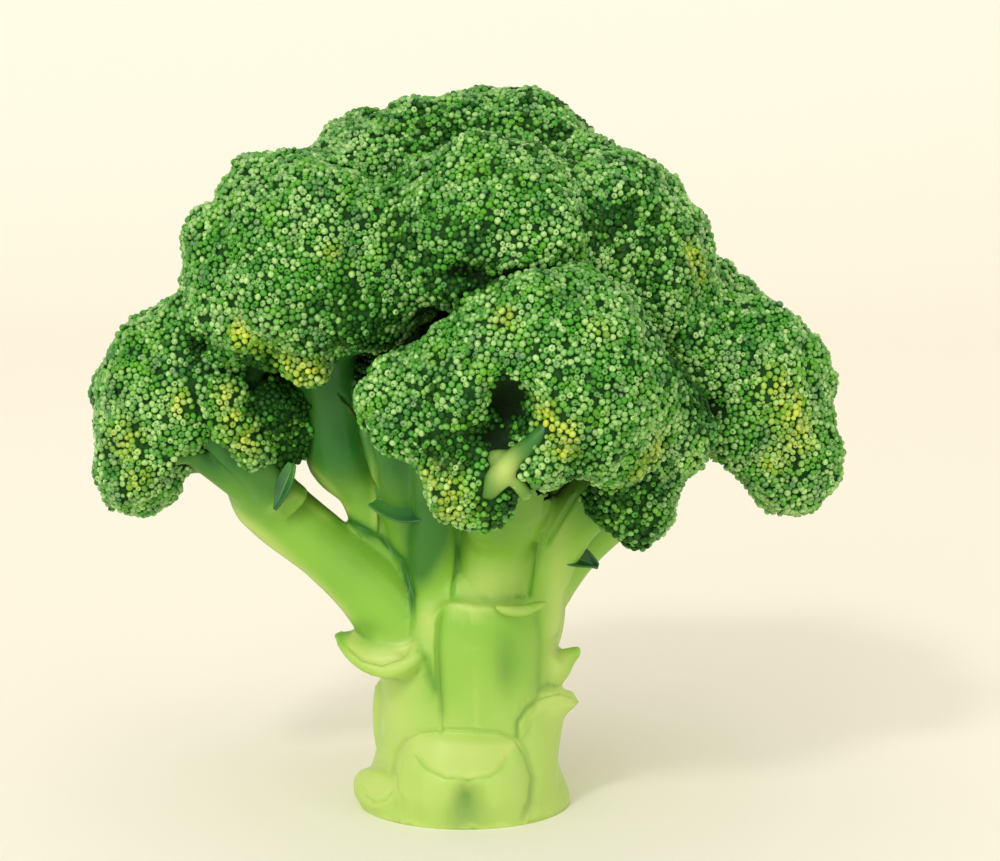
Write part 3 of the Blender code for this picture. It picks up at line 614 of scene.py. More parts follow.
def paint(mesh, name, *rows):
    """Keeps three numbers for each point as a colour attribute for the materials."""
    layer = mesh.color_attributes.new(name, "FLOAT_COLOR", "POINT")
    colours = np.stack([*rows, np.ones(len(rows[0]))], axis=1)
    layer.data.foreach_set("color", colours.astype(np.float32).ravel())


def cut_off(bm, through, outwards):
    """Cuts away what lies beyond a plane and fills the cut."""
    everything = bm.verts[:] + bm.edges[:] + bm.faces[:]
    cut = bmesh.ops.bisect_plane(
        bm, geom=everything, plane_co=through, plane_no=outwards, clear_outer=True)
    rim = [piece for piece in cut["geom_cut"] if isinstance(piece, bmesh.types.BMEdge)]
    bmesh.ops.holes_fill(bm, edges=rim)


def split_wide_faces(bm):
    bmesh.ops.triangulate(bm, faces=[face for face in bm.faces if len(face.verts) > 4])


def head_hit(across, down, trees):
    """Where the way through a pixel first meets a head: place, normal, face and distance."""
    way = Vector(photo_ray(across, down))
    hits = [tree.ray_cast(Vector(CAMERA_PLACE), way) for tree in trees]
    return min((hit for hit in hits if hit[0] is not None), key=lambda hit: hit[3], default=None)


# Stalk.


def trunk_radius(height):
    radii, heights = zip(*reversed(TRUNK_PROFILE))
    return np.interp(height, heights, radii)


def turned_trunk():
    (_, top), (_, bottom) = TRUNK_PROFILE[0], TRUNK_PROFILE[-1]
    bm = bmesh.new()
    points = [bm.verts.new((radius * MM, 0, height * MM))
              for radius, height in [(0, top), *TRUNK_PROFILE, (0, bottom)]]
    for upper, lower in zip(points, points[1:]):
        bm.edges.new((upper, lower))
    turn = dict(steps=TRUNK_STEPS, render_steps=TRUNK_STEPS, use_merge_vertices=True,
                merge_threshold=0.0001)
    return modified(mesh_of(bm), ("SCREW", turn))


def tapered_curve(rows):
    """The mesh of a smooth curve whose bevel follows the radius at each point."""
    curve = bpy.data.curves.new("branch", "CURVE")
    curve.dimensions = "3D"
    curve.bevel_depth = MM
    curve.bevel_resolution = 6
    curve.resolution_u = 12
    curve.use_fill_caps = True
    spline = curve.splines.new("BEZIER")
    spline.bezier_points.add(len(rows) - 1)
    for point, (x, y, z, radius) in zip(spline.bezier_points, rows):
        point.co = (x * MM, y * MM, z * MM)
        point.radius = radius
        point.handle_left_type = point.handle_right_type = "AUTO"
    return modified(curve)


def stub_frame(bearing, height, half_width, half_height, proud, cut_above, slope):
    """A stub's turn, the middle and size of its ball, and its cut plane."""
    radius, slope = trunk_radius(height), math.radians(slope)
    turn = Matrix.Rotation(math.radians(bearing), 4, "Z")
    middle = Vector((radius - STUB_ROOT, 0, height))
    size = Vector((proud + STUB_ROOT, half_width, half_height))
    through = Vector((radius + 0.5 * proud, 0, height + cut_above))
    return turn, middle, size, through, Vector((math.sin(slope), 0, math.cos(slope)))


def leaf_stub(stub):
    """The base of a cut-off leaf: a flattened ball on the trunk, cut by a sloping plane."""
    turn, middle, size, through, outwards = stub_frame(*stub)
    shape = Matrix.Translation(middle * MM) @ Matrix.Diagonal((*(size * MM), 1))
    bm = bmesh.new()
    bmesh.ops.create_uvsphere(bm, u_segments=48, v_segments=32, radius=1, matrix=turn @ shape)
    cut_off(bm, turn @ (through * MM), turn @ outwards)
    return mesh_of(bm)


def section_rows(sections):
    """The sections of a leaf base with smooth steps between them, as an array of points."""
    bearings, shapes = zip(*sections)
    shapes = np.array(shapes, float)
    last = len(sections) - 1
    wanted = np.linspace(0, last, last * LOFT_STEPS + 1)
    low = np.clip(np.floor(wanted).astype(int), 0, last - 1)
    share = (wanted - low)[:, None, None]
    before, after = shapes[np.maximum(low - 1, 0)], shapes[np.minimum(low + 2, last)]
    first, second = shapes[low], shapes[low + 1]
    smooth = first + 0.5 * share * (
        second - before + share * (
            2 * before - 5 * first + 4 * second - after
            + share * (3 * (first - second) + after - before)))
    outwards, height = smooth[:, :, 0], smooth[:, :, 1]
    turns = np.radians(np.interp(wanted, np.arange(last + 1), bearings))[:, None]
    radii = trunk_radius(height) + outwards
    return np.stack([radii * np.cos(turns), radii * np.sin(turns), height], axis=2)


def leaf_base(sections):
    """A closed loft through the sections, whose back lies inside the trunk."""
    rows = section_rows(sections)
    back = rows.copy()
    back[:, :, :2] *= BASE_BACK
    loops = np.concatenate([rows, back[:, ::-1]], axis=1)
    bm = bmesh.new()
    verts = [[bm.verts.new(point * MM) for point in loop] for loop in loops]
    for low, high in zip(verts, verts[1:]):
        for step in range(len(low)):
            after = (step + 1) % len(low)
            bm.faces.new((low[step], low[after], high[after], high[step]))
    bm.faces.new(verts[0])
    bm.faces.new(verts[-1][::-1])
    return mesh_of(bm)


def floret_axis(name):
    """The way from a floret's branch to the middle of its dome."""
    _, _, branch = FLORETS[name]
    return unit(CENTRES[name] - np.array(branch[-1][:3], float))


def neck_of(name):
    """Where a branch begins to flare, and the seat at the flare's end."""
    radius, axis = FLORETS[name][1], floret_axis(name)
    seat = CENTRES[name] - axis * (SEAT_DEPTH * radius + SEAT_GAP)
    return seat - axis * FLARE_LENGTH * radius, seat


def full_branch(name):
    """The branch's points with the flare that ends it, as rows of x, y, z and radius."""
    _, radius, branch = FLORETS[name]
    neck, seat = neck_of(name)
    flare = SEAT_RADIUS * radius - FLARE_CLEARANCE
    return [*branch, (*neck, min(branch[-1][3], NECK_SHARE * flare)), (*seat, flare)]


def little_stems(name, tree):
    """Stems that fan out of a floret's neck to the underside of its dome."""
    centre, radius, axis = CENTRES[name], FLORETS[name][1], floret_axis(name)
    side = unit(np.cross(axis, ANY_WAY))
    front = np.cross(axis, side)
    neck, seat = neck_of(name)
    draw = np.random.default_rng(sum(map(ord, name)) + 7)
    number = max(4, round(radius / STEM_SPACING))
    rows = []
    for turn in (np.arange(number) + draw.uniform(-0.2, 0.2, number)) * 2 * math.pi / number:
        out = side * math.cos(turn) + front * math.sin(turn)
        spread = math.radians(STEM_END_ANGLE + draw.uniform(-5, 5))
        way = out * math.sin(spread) - axis * math.cos(spread)
        far = tree.ray_cast(Vector(centre), Vector(way))[3]
        far = radius if far is None else far
        thick = radius * draw.uniform(*STEM_RADIUS)
        start = neck + out * STEM_START * radius
        middle = seat + out * STEM_MIDDLE * radius - axis * 0.02 * radius
        end = centre + way * (min(far, STEM_END * radius) - 0.5 * thick)
        rows.append([(*start, thick * 1.1), (*middle, thick), (*end, thick * 0.75)])
    return rows


def crossing_rows(rows, trees):
    """A crossing stem's points, each found in front of the skin that its pixel shows."""
    found, far = [], None
    for across, down, lift, radius in rows:
        hit = head_hit(across, down, trees)
        far = hit[3] if hit else far
        found.append((*(CAMERA_PLACE + photo_ray(across, down) * (far - lift)), radius))
    return found


def grown_mesh(skin_of, trees):
    """Trunk, stubs, branches and little stems grown together."""
    parts = [turned_trunk()]
    parts += [leaf_stub(stub) for *stub, _ in LEAF_STUBS]
    parts += [leaf_base(sections) for sections in LEAF_BASES.values()]
    lines = list(HORNS)
    lines += [[(*photo_place(*place), radius) for *place, radius in rows] for rows in SEEN_STEMS]
    lines += [crossing_rows(rows, trees) for rows in CROSSING_STEMS]
    for name in FLORETS:
        lines += [full_branch(name), *little_stems(name, skin_of[name]["tree"])]
    parts += [tapered_curve(rows) for rows in lines]
    bm = bmesh.new()
    for part in parts:
        bm.from_mesh(part)
        bpy.data.meshes.remove(part)
    bmesh.ops.remove_doubles(bm, verts=bm.verts[:], dist=0.00001)
    bmesh.ops.recalc_face_normals(bm, faces=bm.faces[:])
    return modified(mesh_of(bm, "grown"), voxels(STALK_VOXEL), softened(STALK_SMOOTHING))


def stub_cut(places, stub):
    """How much of a stub's cut face each point is."""
    turn, middle, size, through, outwards = (np.array(row) for row in stub_frame(*stub))
    local = places @ turn[:3, :3]
    inside = np.linalg.norm((local - middle) / size, axis=1)
    off_plane = np.abs((local - through) @ outwards)
    return (1 - smooth_step(*STUB_RIM, inside)) * (1 - smooth_step(*STUB_SKIN, off_plane))


def base_cut(places, sections):
    """How much of a leaf base's cut face each point is: close to it, and off its edges."""
    rows = section_rows(sections)
    top, lip = rows[:, 0], rows[:, 2]
    share = np.linspace(0, 1, FACE_STEPS)
    face = (top[:, None] + (lip - top)[:, None] * share[:, None]).reshape(-1, 3)
    along = np.sin(math.pi * np.linspace(0, 1, len(rows)))
    inner = smooth_step(*BASE_RIM, np.outer(along, 4 * share * (1 - share)).ravel())
    tree = KDTree(len(face))
    for index, point in enumerate(face):
        tree.insert(point, index)
    tree.balance()
    cut = np.zeros(len(places))
    low, high = face.min(0) - BASE_SKIN[1], face.max(0) + BASE_SKIN[1]
    near = ((places > low) & (places < high)).all(1)
    for index in np.flatnonzero(near):
        _, nearest, far = tree.find(places[index])
        cut[index] = (1 - smooth_step(*BASE_SKIN, far)) * inner[nearest]
    return cut


def cut_faces(places):
    """How much of a pale cut face each point is."""
    cuts = [stub_cut(places, stub) for *stub, pale in LEAF_STUBS if pale]
    cuts += [base_cut(places, LEAF_BASES[name]) for name in CUT_BASES]
    return np.max(cuts, axis=0)


def hollowness(mesh):
    """How deep each point lies in a groove, in millimetres, at a fine and at a wide scale."""
    places, normals = places_of(mesh), normals_of(mesh)
    levels = [places_of(modified(mesh.copy(), softened(steps))) for steps in HOLLOW_STEPS]
    return [dots(level - places, normals) for level in levels]


def across_line(pixels, line):
    """Each pixel's distance from a line of pixels, above 0 on its left hand, and how far along
    the line it is, below 0 and above 1 past its ends."""
    line = np.array(line, float)
    lengths = np.linalg.norm(np.diff(line, axis=0), axis=1)
    total, passed = lengths.sum(), 0.0
    best = np.full(len(pixels), np.inf)
    signed, share = np.zeros(len(pixels)), np.zeros(len(pixels))
    for index, (start, length) in enumerate(zip(line, lengths)):
        way = (line[index + 1] - start) / length
        off = pixels - start
        low = -np.inf if index == 0 else 0
        high = np.inf if index == len(lengths) - 1 else length
        held = np.clip(off @ way, low, high)
        apart = np.linalg.norm(off - held[:, None] * way, axis=1)
        side = np.sign(off[:, 0] * way[1] - off[:, 1] * way[0])
        closer = apart < best
        best = np.where(closer, apart, best)
        signed = np.where(closer, apart * side, signed)
        share = np.where(closer, (passed + held) / total, share)
        passed += length
    return signed, share


def between_ends(share, before, after):
    """1 along a line, fading round both of its ends."""
    return (smooth_step(-before, after, share)
            * (1 - smooth_step(1 - after, 1 + before, share)))


def refined(mesh):
    """Splits the edges close to where the photograph shows a line on the front of the stalk."""
    places = places_of(mesh)
    pixels = to_photo(places)
    near = np.zeros(len(places), bool)
    for line, _, _ in OVERLAPS:
        signed, share = across_line(pixels, line)
        near |= (np.abs(signed) < REFINED_PIXELS) & (share > -0.1) & (share < 1.1)
    near &= dots(normals_of(mesh), to_camera(places)) > 0
    with edited(mesh) as bm:
        edges = [edge for edge in bm.edges if all(near[vert.index] for vert in edge.verts)]
        bmesh.ops.subdivide_edges(bm, edges=edges, cuts=REFINED_CUTS, use_grid_fill=True)
        split_wide_faces(bm)


def evened(mesh, values, steps):
    """A number for each point, evened out along the mesh's edges."""
    ends, number = rows_of(mesh.edges, "vertices", np.int32, 2), len(values)
    first, second = ends.T
    links = np.maximum(np.bincount(ends.ravel(), minlength=number), 1)
    for _ in range(steps):
        total = np.bincount(first, values[second], number)
        total += np.bincount(second, values[first], number)
        values = (values + total / links) / 2
    return values


def seen_points(mesh):
    """How much of each point of the stalk the camera sees, its pixel and how much it faces it."""
    places, normals = places_of(mesh), normals_of(mesh)
    pixels = to_photo(places)
    facing = dots(normals, to_camera(places))
    first, last = STALK_PIXELS
    likely = (facing > 0) & (pixels[:, 0] > first) & (pixels[:, 0] < last)
    tree = tree_of(places, triangles_of(mesh))
    seen = np.zeros(len(places))
    for index in np.flatnonzero(likely):
        start = Vector(places[index] + normals[index] * SIGHT_LIFT)
        way = Vector(CAMERA_PLACE - places[index]).normalized()
        seen[index] = tree.ray_cast(start, way, SIGHT_LENGTH)[0] is None
    seen = smooth_step(*SEEN, evened(mesh, seen, SIGHT_STEPS))
    return seen, pixels, smooth_step(*FACING, facing)


def pressed(mesh):
    """Puts the dents and overlapping edges of the photograph into the front of the stalk."""
    places, normals = places_of(mesh), normals_of(mesh)
    seen, pixels, facing = seen_points(mesh)
    depth = np.zeros(len(places))
    for middle, size, deep in DENTS:
        depth -= deep * pixel_spot(pixels, middle, size)
    pixel_size = np.linalg.norm(places - CAMERA_PLACE, axis=1) / PIXELS
    for line, height, width in OVERLAPS:
        signed, share = across_line(pixels, line)
        signed = signed * pixel_size
        raised = smooth_step(-EDGE_SOFTNESS, EDGE_SOFTNESS, signed)
        raised *= np.exp(-np.maximum(signed, 0) / width)
        groove = np.exp(-(((signed + EDGE_SOFTNESS) / GROOVE_WIDTH) ** 2))
        depth += between_ends(share, 0.02, 0.1) * (height * raised - EDGE_GROOVE * groove)
    move_points(mesh, places + normals * (depth * facing * seen)[:, None])


def tints_and_shade(seen, pixels, facing):
    """The photograph's tints of the stalk, from -1 to 1 for each point; the deep ones are partly
    painted shade.
    """
    tint_and_shade = np.zeros(len(pixels))
    for middle, size, amount in TINTS_AND_SHADE:
        tint_and_shade += amount * pixel_spot(pixels, middle, size)
    for line, half_width, amount in TINT_AND_SHADE_LINES:
        off, share = across_line(pixels, line)
        tint_and_shade += amount * between_ends(share, 0.1, 0.12) * np.exp(-((off / half_width) ** 2))
    return np.clip(tint_and_shade, -1, 1) * facing * seen


def inside_heads(place, trees):
    """How far a point lies inside a head, or 0."""
    point, deep = Vector(place), 0
    for tree in trees:
        nearest, normal, _, far = tree.find_nearest(point, HIDDEN_REACH)
        if nearest is not None and (point - nearest).dot(normal) < 0:
            deep = max(deep, far)
    return deep


def without_hidden(mesh, trees):
    """Takes away what lies deep inside the heads. Plain holes are filled, the rest stay open."""
    deep = [inside_heads(place, trees) for place in places_of(mesh)]
    with edited(mesh) as bm:
        gone = [vert for vert, far in zip(bm.verts, deep) if far > HIDDEN_DEPTH]
        bmesh.ops.delete(bm, geom=gone, context="VERTS")
        bmesh.ops.holes_fill(bm, edges=[edge for edge in bm.edges if len(edge.link_faces) == 1])
        split_wide_faces(bm)


def build_stalk(skin_of, trees, material):
    mesh = grown_mesh(skin_of, trees)
    without_hidden(mesh, trees)
    with edited(mesh) as bm:
        cut_off(bm, (0, 0, 0), (0, 0, -1))
    refined(mesh)
    pressed(mesh)
    faces = len(triangles_of(mesh))
    if faces > MOST_STALK_FACES:
        mesh = modified(mesh, ("DECIMATE", dict(ratio=MOST_STALK_FACES / faces)))
    # Painted shade in the grooves, a paler tint on the ridges and the pale cut faces.
    close, far = hollowness(mesh)
    groove = GROOVE_SHADE_SHARE * (smooth_step(*FINE_GROOVE_SHADE, close) + smooth_step(*WIDE_GROOVE_SHADE, far))
    edge = smooth_step(*FINE_EDGE, -close)
    paint(mesh, "grown", np.clip(groove, 0, 1), cut_faces(places_of(mesh)), edge)
    # The tints, whose deep channel is partly painted shade.
    tint_and_shade = tints_and_shade(*seen_points(mesh))
    paint(mesh, "tint_and_shade", np.maximum(-tint_and_shade, 0), np.maximum(tint_and_shade, 0), np.zeros(len(tint_and_shade)))
    smooth_faces(mesh)
    mesh.materials.append(material)
    stalk = new_object("grown_stalk", mesh)
    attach(stalk, "root")
    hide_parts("stalk")
    return stalk


def small_leaf(number, leaf, material):
    """A little pointed leaf with a midrib: a grid narrowed to its tip, cupped and bent back."""
    root, tip, width, faces_to, bend, cup = leaf
    root, tip, up = (np.array(row, float) for row in (root, tip, faces_to))
    length = np.linalg.norm(tip - root)
    along = (tip - root) / length
    up = unit(up - along * (along @ up))
    side = np.cross(up, along)
    share, across = np.meshgrid(
        np.linspace(0, 1, LEAF_ROWS), np.linspace(-1, 1, LEAF_COLUMNS), indexing="ij")
    # Blunt at the root, widest before its middle, pointed at the tip, and a little wavy.
    half_width = 0.5 * width * (0.03 + 0.97 * np.sin(math.pi * (0.16 + 0.82 * share)))
    wave = 0.05 * width * np.sin(9 * share + 2.1 * number) * across**2 * share
    rib = 0.09 * width * np.exp(-((across / 0.16) ** 2)) * (1 - share)
    lift = cup * width * across**2 * (1 - 0.5 * share) - bend * length * share**2 - rib + wave
    places = root + (along * (length * share)[..., None] + side * (across * half_width)[..., None]
                     + up * lift[..., None])
    first = np.arange(LEAF_ROWS - 1)[:, None] * LEAF_COLUMNS + np.arange(LEAF_COLUMNS - 1)
    corners = first.reshape(-1, 1) + (0, 1, LEAF_COLUMNS + 1, LEAF_COLUMNS)
    sheet = mesh_from_arrays(
        "leaf", places.reshape(-1, 3), corners.ravel(), np.full(len(corners), 4))
    paint(sheet, "leaf", share.ravel(), np.abs(across).ravel(), np.zeros(share.size))
    thick = ("SOLIDIFY", dict(thickness=LEAF_THICKNESS * MM, offset=0.0))
    mesh = modified(sheet, thick, ("SUBSURF", dict(levels=1, render_levels=1)))
    smooth_faces(mesh)
    mesh.materials.append(material)
    piece = new_object(f"small_leaf_{number}", mesh)
    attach(piece, "root")


# Skins of the florets.


def angle_from_seat(name, places):
    """Degrees between the way to the seat and the way to each point, from the dome's centre."""
    away = unit(places - CENTRES[name])
    return np.degrees(np.arccos(np.clip(-(away @ floret_axis(name)), -1, 1)))


def dome_mesh(name, node):
    """A floret's solid without its coarse buds, drawn in a little under the dome."""
    bm = bmesh.new()
    bm.from_mesh(node.data)
    bmesh.ops.remove_doubles(bm, verts=bm.verts[:], dist=1e-6)
    mesh = modified(mesh_of(bm), voxels(HEAD_VOXEL), softened(HEAD_SMOOTHING), swollen(SWELL))
    places, centre = places_of(mesh), CENTRES[name]
    under = 1 - smooth_step(UNDER_START, UNDER_END, angle_from_seat(name, places))
    move_points(mesh, centre + (places - centre) * (1 - UNDER_TUCK * under)[:, None])
    return mesh


def clump_mesh(across, down, y, radius):
    """A smooth ball for a clump of buds that is seen at a pixel of the photograph."""
    bm = bmesh.new()
    place = Matrix.Translation(Vector(photo_place(across, down, y)) * MM)
    bmesh.ops.create_icosphere(bm, subdivisions=4, radius=radius * MM, matrix=place)
    return mesh_of(bm)


def keep_largest_island(mesh):
    """Keeps the one connected skin with the most points."""
    with edited(mesh) as bm:
        left, best = set(bm.verts), []
        while left:
            island = [left.pop()]
            for vert in island:
                found = {end for edge in vert.link_edges for end in edge.verts} & left
                left -= found
                island += found
            best = max(best, island, key=len)
        bmesh.ops.delete(bm, geom=list(set(bm.verts) - set(best)), context="VERTS")


def dented(places, normals):
    """Presses the hollows of the photograph into the skin that is seen at their pixels, and
    says how bare of buds each point is."""
    pixels, seen = to_photo(places), to_camera(places)
    facing = smooth_step(-0.1, 0.3, dots(normals, seen))
    moved, bareness = places.copy(), np.zeros(len(places))
    for middle, size, nearness, depth, bare in HOLLOWS:
        front = 1 - smooth_step(0, HOLLOW_REACH, places[:, 1] - nearness)
        share = pixel_spot(pixels, middle, size) * facing * front
        moved -= seen * (depth * share)[:, None]
        bareness = np.maximum(bareness, bare * smooth_step(*BARE, share))
    return moved, bareness


def crown_skin(names, closing, nodes):
    """One skin over a group of domes, with the grooves between them filled to a soft valley."""
    bm = bmesh.new()
    for name in names:
        meshes = [clump_mesh(*clump) for clump in BUNCHES.get(name, RIM_CLUMPS.get(name, []))]
        if name not in BUNCHES:
            meshes.append(dome_mesh(name, nodes[f"floret_{name}"]))
        for mesh in meshes:
            bm.from_mesh(mesh)
            bpy.data.meshes.remove(mesh)
    steps = [voxels(HEAD_VOXEL)]
    if closing:
        steps += [swollen(closing), voxels(1.2 * HEAD_VOXEL), softened(4), swollen(-closing),
                  softened(3)]
    mesh = modified(mesh_of(bm), *steps, swollen(-SWELL))
    keep_largest_island(mesh)
    places, normals = places_of(mesh), normals_of(mesh)
    lumps = sum(height * waves(places, length, seed) for height, length, seed in LUMPS)
    places, bareness = dented(places + normals * lumps[:, None], normals)
    move_points(mesh, places)
    triangles = triangles_of(mesh)
    return dict(names=names, places=places, normals=normals_of(mesh), triangles=triangles,
                tree=tree_of(places, triangles), bareness=bareness)


def owner_of(names, places):
    """The number of the floret that each point belongs to: the dome whose skin is nearest."""
    off = [np.linalg.norm(places - CENTRES[name], axis=1) - FLORETS[name][1] for name in names]
    return np.argmin(np.array(off), axis=0)


# Buds.


def triangle_areas(skin):
    first, second, third = skin["places"][skin["triangles"]].transpose(1, 0, 2)
    return np.linalg.norm(np.cross(second - first, third - first), axis=1) / 2


def surface_samples(skin, number, draw):
    """Points spread at random over a skin, with their normals and bareness."""
    areas = triangle_areas(skin)
    chosen = skin["triangles"][draw.choice(len(areas), number, p=areas / areas.sum())]
    first, second = draw.uniform(size=(2, number))
    over = first + second > 1
    first[over], second[over] = 1 - first[over], 1 - second[over]
    weights = np.stack([1 - first - second, first, second], axis=1)
    places, normals = (np.einsum("ij,ijk->ik", weights, skin[row][chosen])
                       for row in ("places", "normals"))
    return places, unit(normals), dots(weights, skin["bareness"][chosen])


def spaced(places, radii):
    """Picks points, in their order, that keep the distance of two touching buds."""
    cells = np.floor(places / (2 * BUD_LARGEST)).astype(int).tolist()
    near, kept = {}, []
    rows = zip(places.tolist(), radii.tolist(), cells)
    for index, ((x, y, z), radius, (a, b, c)) in enumerate(rows):
        for u, v, w, other in near.get((a, b, c), ()):
            apart = BUD_CLOSENESS * (radius + other)
            if (x - u) ** 2 + (y - v) ** 2 + (z - w) ** 2 < apart * apart:
                break
        else:
            kept.append(index)
            for cell in product((a - 1, a, a + 1), (b - 1, b, b + 1), (c - 1, c, c + 1)):
                near.setdefault(cell, []).append((x, y, z, radius))
    return np.array(kept, int)


def in_the_open(places, normals, others):
    """True where nothing of the other heads or the stalk lies close above the skin."""
    def is_free(start, way):
        return all(tree.ray_cast(start, way, reach)[0] is None
                   and tree.find_nearest(start, NEAR_SHARE * reach)[0] is None
                   for tree, reach in others)
    free = [is_free(Vector(place), Vector(normal)) for place, normal in zip(places, normals)]
    return np.array(free, bool)


def spotted(places, spots):
    """How much of the strongest spot each point has."""
    found = np.zeros(len(places))
    for spot, width, strength in spots:
        apart = np.linalg.norm(places - spot, axis=1)
        found = np.maximum(found, strength * np.exp(-((apart / width) ** 2)))
    return found


def bud_angle(skin, places):
    """How many degrees each point lies inside the part of its dome that has buds."""
    owner = owner_of(skin["names"], places)
    angle = SEAT_SWING * waves(places, *SEAT_WAVES)
    for index, name in enumerate(skin["names"]):
        mine = owner == index
        angle[mine] += angle_from_seat(name, places[mine])
        angle[mine] -= OTHER_BUD_ANGLES.get(name, BUDS_FROM_ANGLE)
        for *clump, radius in RIM_CLUMPS.get(name, []):
            apart = np.linalg.norm(places - photo_place(*clump), axis=1)
            angle[mine & (apart < radius + CLUMP_MARGIN)] = 1
    return angle


def buds_of(skin, others, ripe_spots, shaded_spots, seed):
    """Where a skin's buds sit, with their normals, radii, tone, ripeness and floret."""
    draw = np.random.default_rng(seed)
    number = int(triangle_areas(skin).sum() * BUD_TRIES)
    places, normals, bareness = surface_samples(skin, number, draw)
    covered = (bud_angle(skin, places) > 0) & (draw.uniform(size=number) > bareness)
    places, normals = picked(covered, places, normals)
    radii = BUD_LARGEST - (BUD_LARGEST - BUD_SMALLEST) * np.linspace(0, 1, len(places)) ** 0.5
    places, normals, radii = picked(spaced(places, radii), places, normals, radii)
    missing = waves(places, *GAP_WAVES) > GAPS_ABOVE
    missing &= draw.uniform(size=len(places)) < GAP_SHARE
    seen = in_the_open(places, normals, others) & ~missing
    places, normals, radii = picked(seen, places, normals, radii)
    number = len(places)
    tone = TONE + TONE_WAVE * waves(places, *TONE_WAVES) + draw.normal(0, TONE_SPREAD, number)
    tone -= DARK_TUFTS * smooth_step(0.25, 0.75, waves(places, *TUFT_WAVES))
    ripeness = np.clip(draw.normal(RIPE_MIDDLE, RIPE_SPREAD, number), *RIPE_LIMITS)
    ripe = np.clip(spotted(places, ripe_spots) * ripeness, 0, 1)
    # Painted shade from the shaded spots lowers the tone, but not that of ripe buds.
    tone = np.clip(tone, 0.1, 1) - spotted(places, shaded_spots) * (1 - ripe)
    tone = np.clip(np.maximum(tone, RIPE_TONE * ripe), 0, 1)
    return dict(owner=owner_of(skin["names"], places), rows=(places, normals, radii, tone, ripe))


def bud_template():
    """One closed bud on a unit circle: its points, their paleness and its faces."""
    places, shade, faces = [], [], []
    for radius, height, pale in BUD_RINGS:
        for step in range(BUD_SEGMENTS if radius else 1):
            turn = 2 * math.pi * step / BUD_SEGMENTS
            places.append((radius * math.cos(turn), radius * math.sin(turn), height))
            shade.append(pale)
    last = len(places) - 1
    top = last - BUD_SEGMENTS
    for step in range(BUD_SEGMENTS):
        after = (step + 1) % BUD_SEGMENTS
        faces.append((0, 1 + after, 1 + step))
        for low in range(1, top, BUD_SEGMENTS):
            high = low + BUD_SEGMENTS
            faces.append((low + step, low + after, high + after, high + step))
        faces.append((top + step, top + after, last))
    return np.array(places), np.array(shade), faces


def bud_frames(normals, draw):
    """A turned and slightly tilted set of axes for each bud, with its third axis up."""
    up = unit(normals + draw.normal(scale=BUD_TILT, size=normals.shape))
    side = unit(np.cross(up, draw.normal(size=normals.shape)))
    return np.stack([side, np.cross(up, side), up], axis=1)


def set_with_buds(name, number, skin, buds, materials):
    """One floret's piece: its share of the skin with every bud on it."""
    corners = skin["triangles"]
    owner = owner_of(skin["names"], skin["places"][corners].mean(axis=1))
    used, triangles = np.unique(corners[owner == number], return_inverse=True)
    skin_places, bareness = picked(used, skin["places"], skin["bareness"])
    places, normals, radii, tone, ripe = picked(buds["owner"] == number, *buds["rows"])
    total, none = len(places), np.zeros(len(used))
    draw = np.random.default_rng(total + 3)
    shape, shade, faces = bud_template()
    frames = bud_frames(normals, draw)
    sizes = radii[:, None] * draw.uniform(LEAST_SIZE, MOST_SIZE, (total, 3))
    shapes, shades = (np.repeat(row[None], total, axis=0) for row in (shape, shade))
    opened = draw.uniform(size=total) < OPEN_BUDS
    shapes[opened, -1, 2] = OPEN_DIMPLE
    # An open bud's middle gets painted shade.
    shades[opened, -1] = 0
    spread = np.where(radii < LARGE_BUD, 1, LARGE_SHARE)
    lift = BUD_LIFT + draw.uniform(*LIFT_SPREAD, total) * spread
    centres = places + normals * lift[:, None]
    points = np.einsum("nk,npk,nkj->npj", sizes, shapes, frames) + centres[:, None]
    firsts = np.arange(total) * len(shape) + len(used)
    bud_corners = firsts[:, None] + np.concatenate(faces)
    skin_faces = triangles.size // 3
    counts = np.concatenate([np.full(skin_faces, 3), np.tile([len(face) for face in faces], total)])
    mesh = mesh_from_arrays(
        f"head_{name}", np.concatenate([skin_places, points.reshape(-1, 3)]),
        np.concatenate([triangles.ravel(), bud_corners.ravel()]), counts)
    paint(mesh, "bud", np.concatenate([bareness, np.repeat(tone, len(shape))]),
          np.concatenate([none, np.repeat(ripe, len(shape))]),
          np.concatenate([none, shades.ravel()]))
    for material in materials:
        mesh.materials.append(material)
    slots = (np.arange(len(counts)) >= skin_faces).astype(np.int32)
    mesh.polygons.foreach_set("material_index", slots)
    head = new_object(f"head_{name}", mesh)
    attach(head, "root")
    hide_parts(f"floret_{name}")


def spot_places(spots, trees):
    """The spots, on whichever head is seen at their pixel."""
    hits = [(head_hit(*pixel, trees), width, strength) for pixel, width, strength in spots]
    return [(np.array(hit[0]), width, strength) for hit, width, strength in hits if hit]


def build_heads(skins, stalk):
    """Sets every skin with buds and makes the florets' pieces of them."""
    trees = [skin["tree"] for skin in skins]
    stalk_tree = tree_of(places_of(stalk.data), triangles_of(stalk.data))
    ripe, shaded = spot_places(RIPE_SPOTS, trees), spot_places(SHADED_SPOTS, trees)
    materials = (core_material(), bud_material())
    for seed, skin in enumerate(skins):
        others = [(tree, OTHER_HEAD_NEAR) for tree in trees if tree is not skin["tree"]]
        buds = buds_of(skin, [*others, (stalk_tree, STALK_NEAR)], ripe, shaded, seed)
        for number, name in enumerate(skin["names"]):
            set_with_buds(name, number, skin, buds, materials)


# Materials.


def srgb(red, green, blue):
    """A colour read from the photograph, in linear light."""
    shares = np.array((red, green, blue)) / 255
    linear = np.where(shares <= 0.04045, shares / 12.92, ((shares + 0.055) / 1.055) ** 2.4)
    return (*map(float, linear), 1.0)
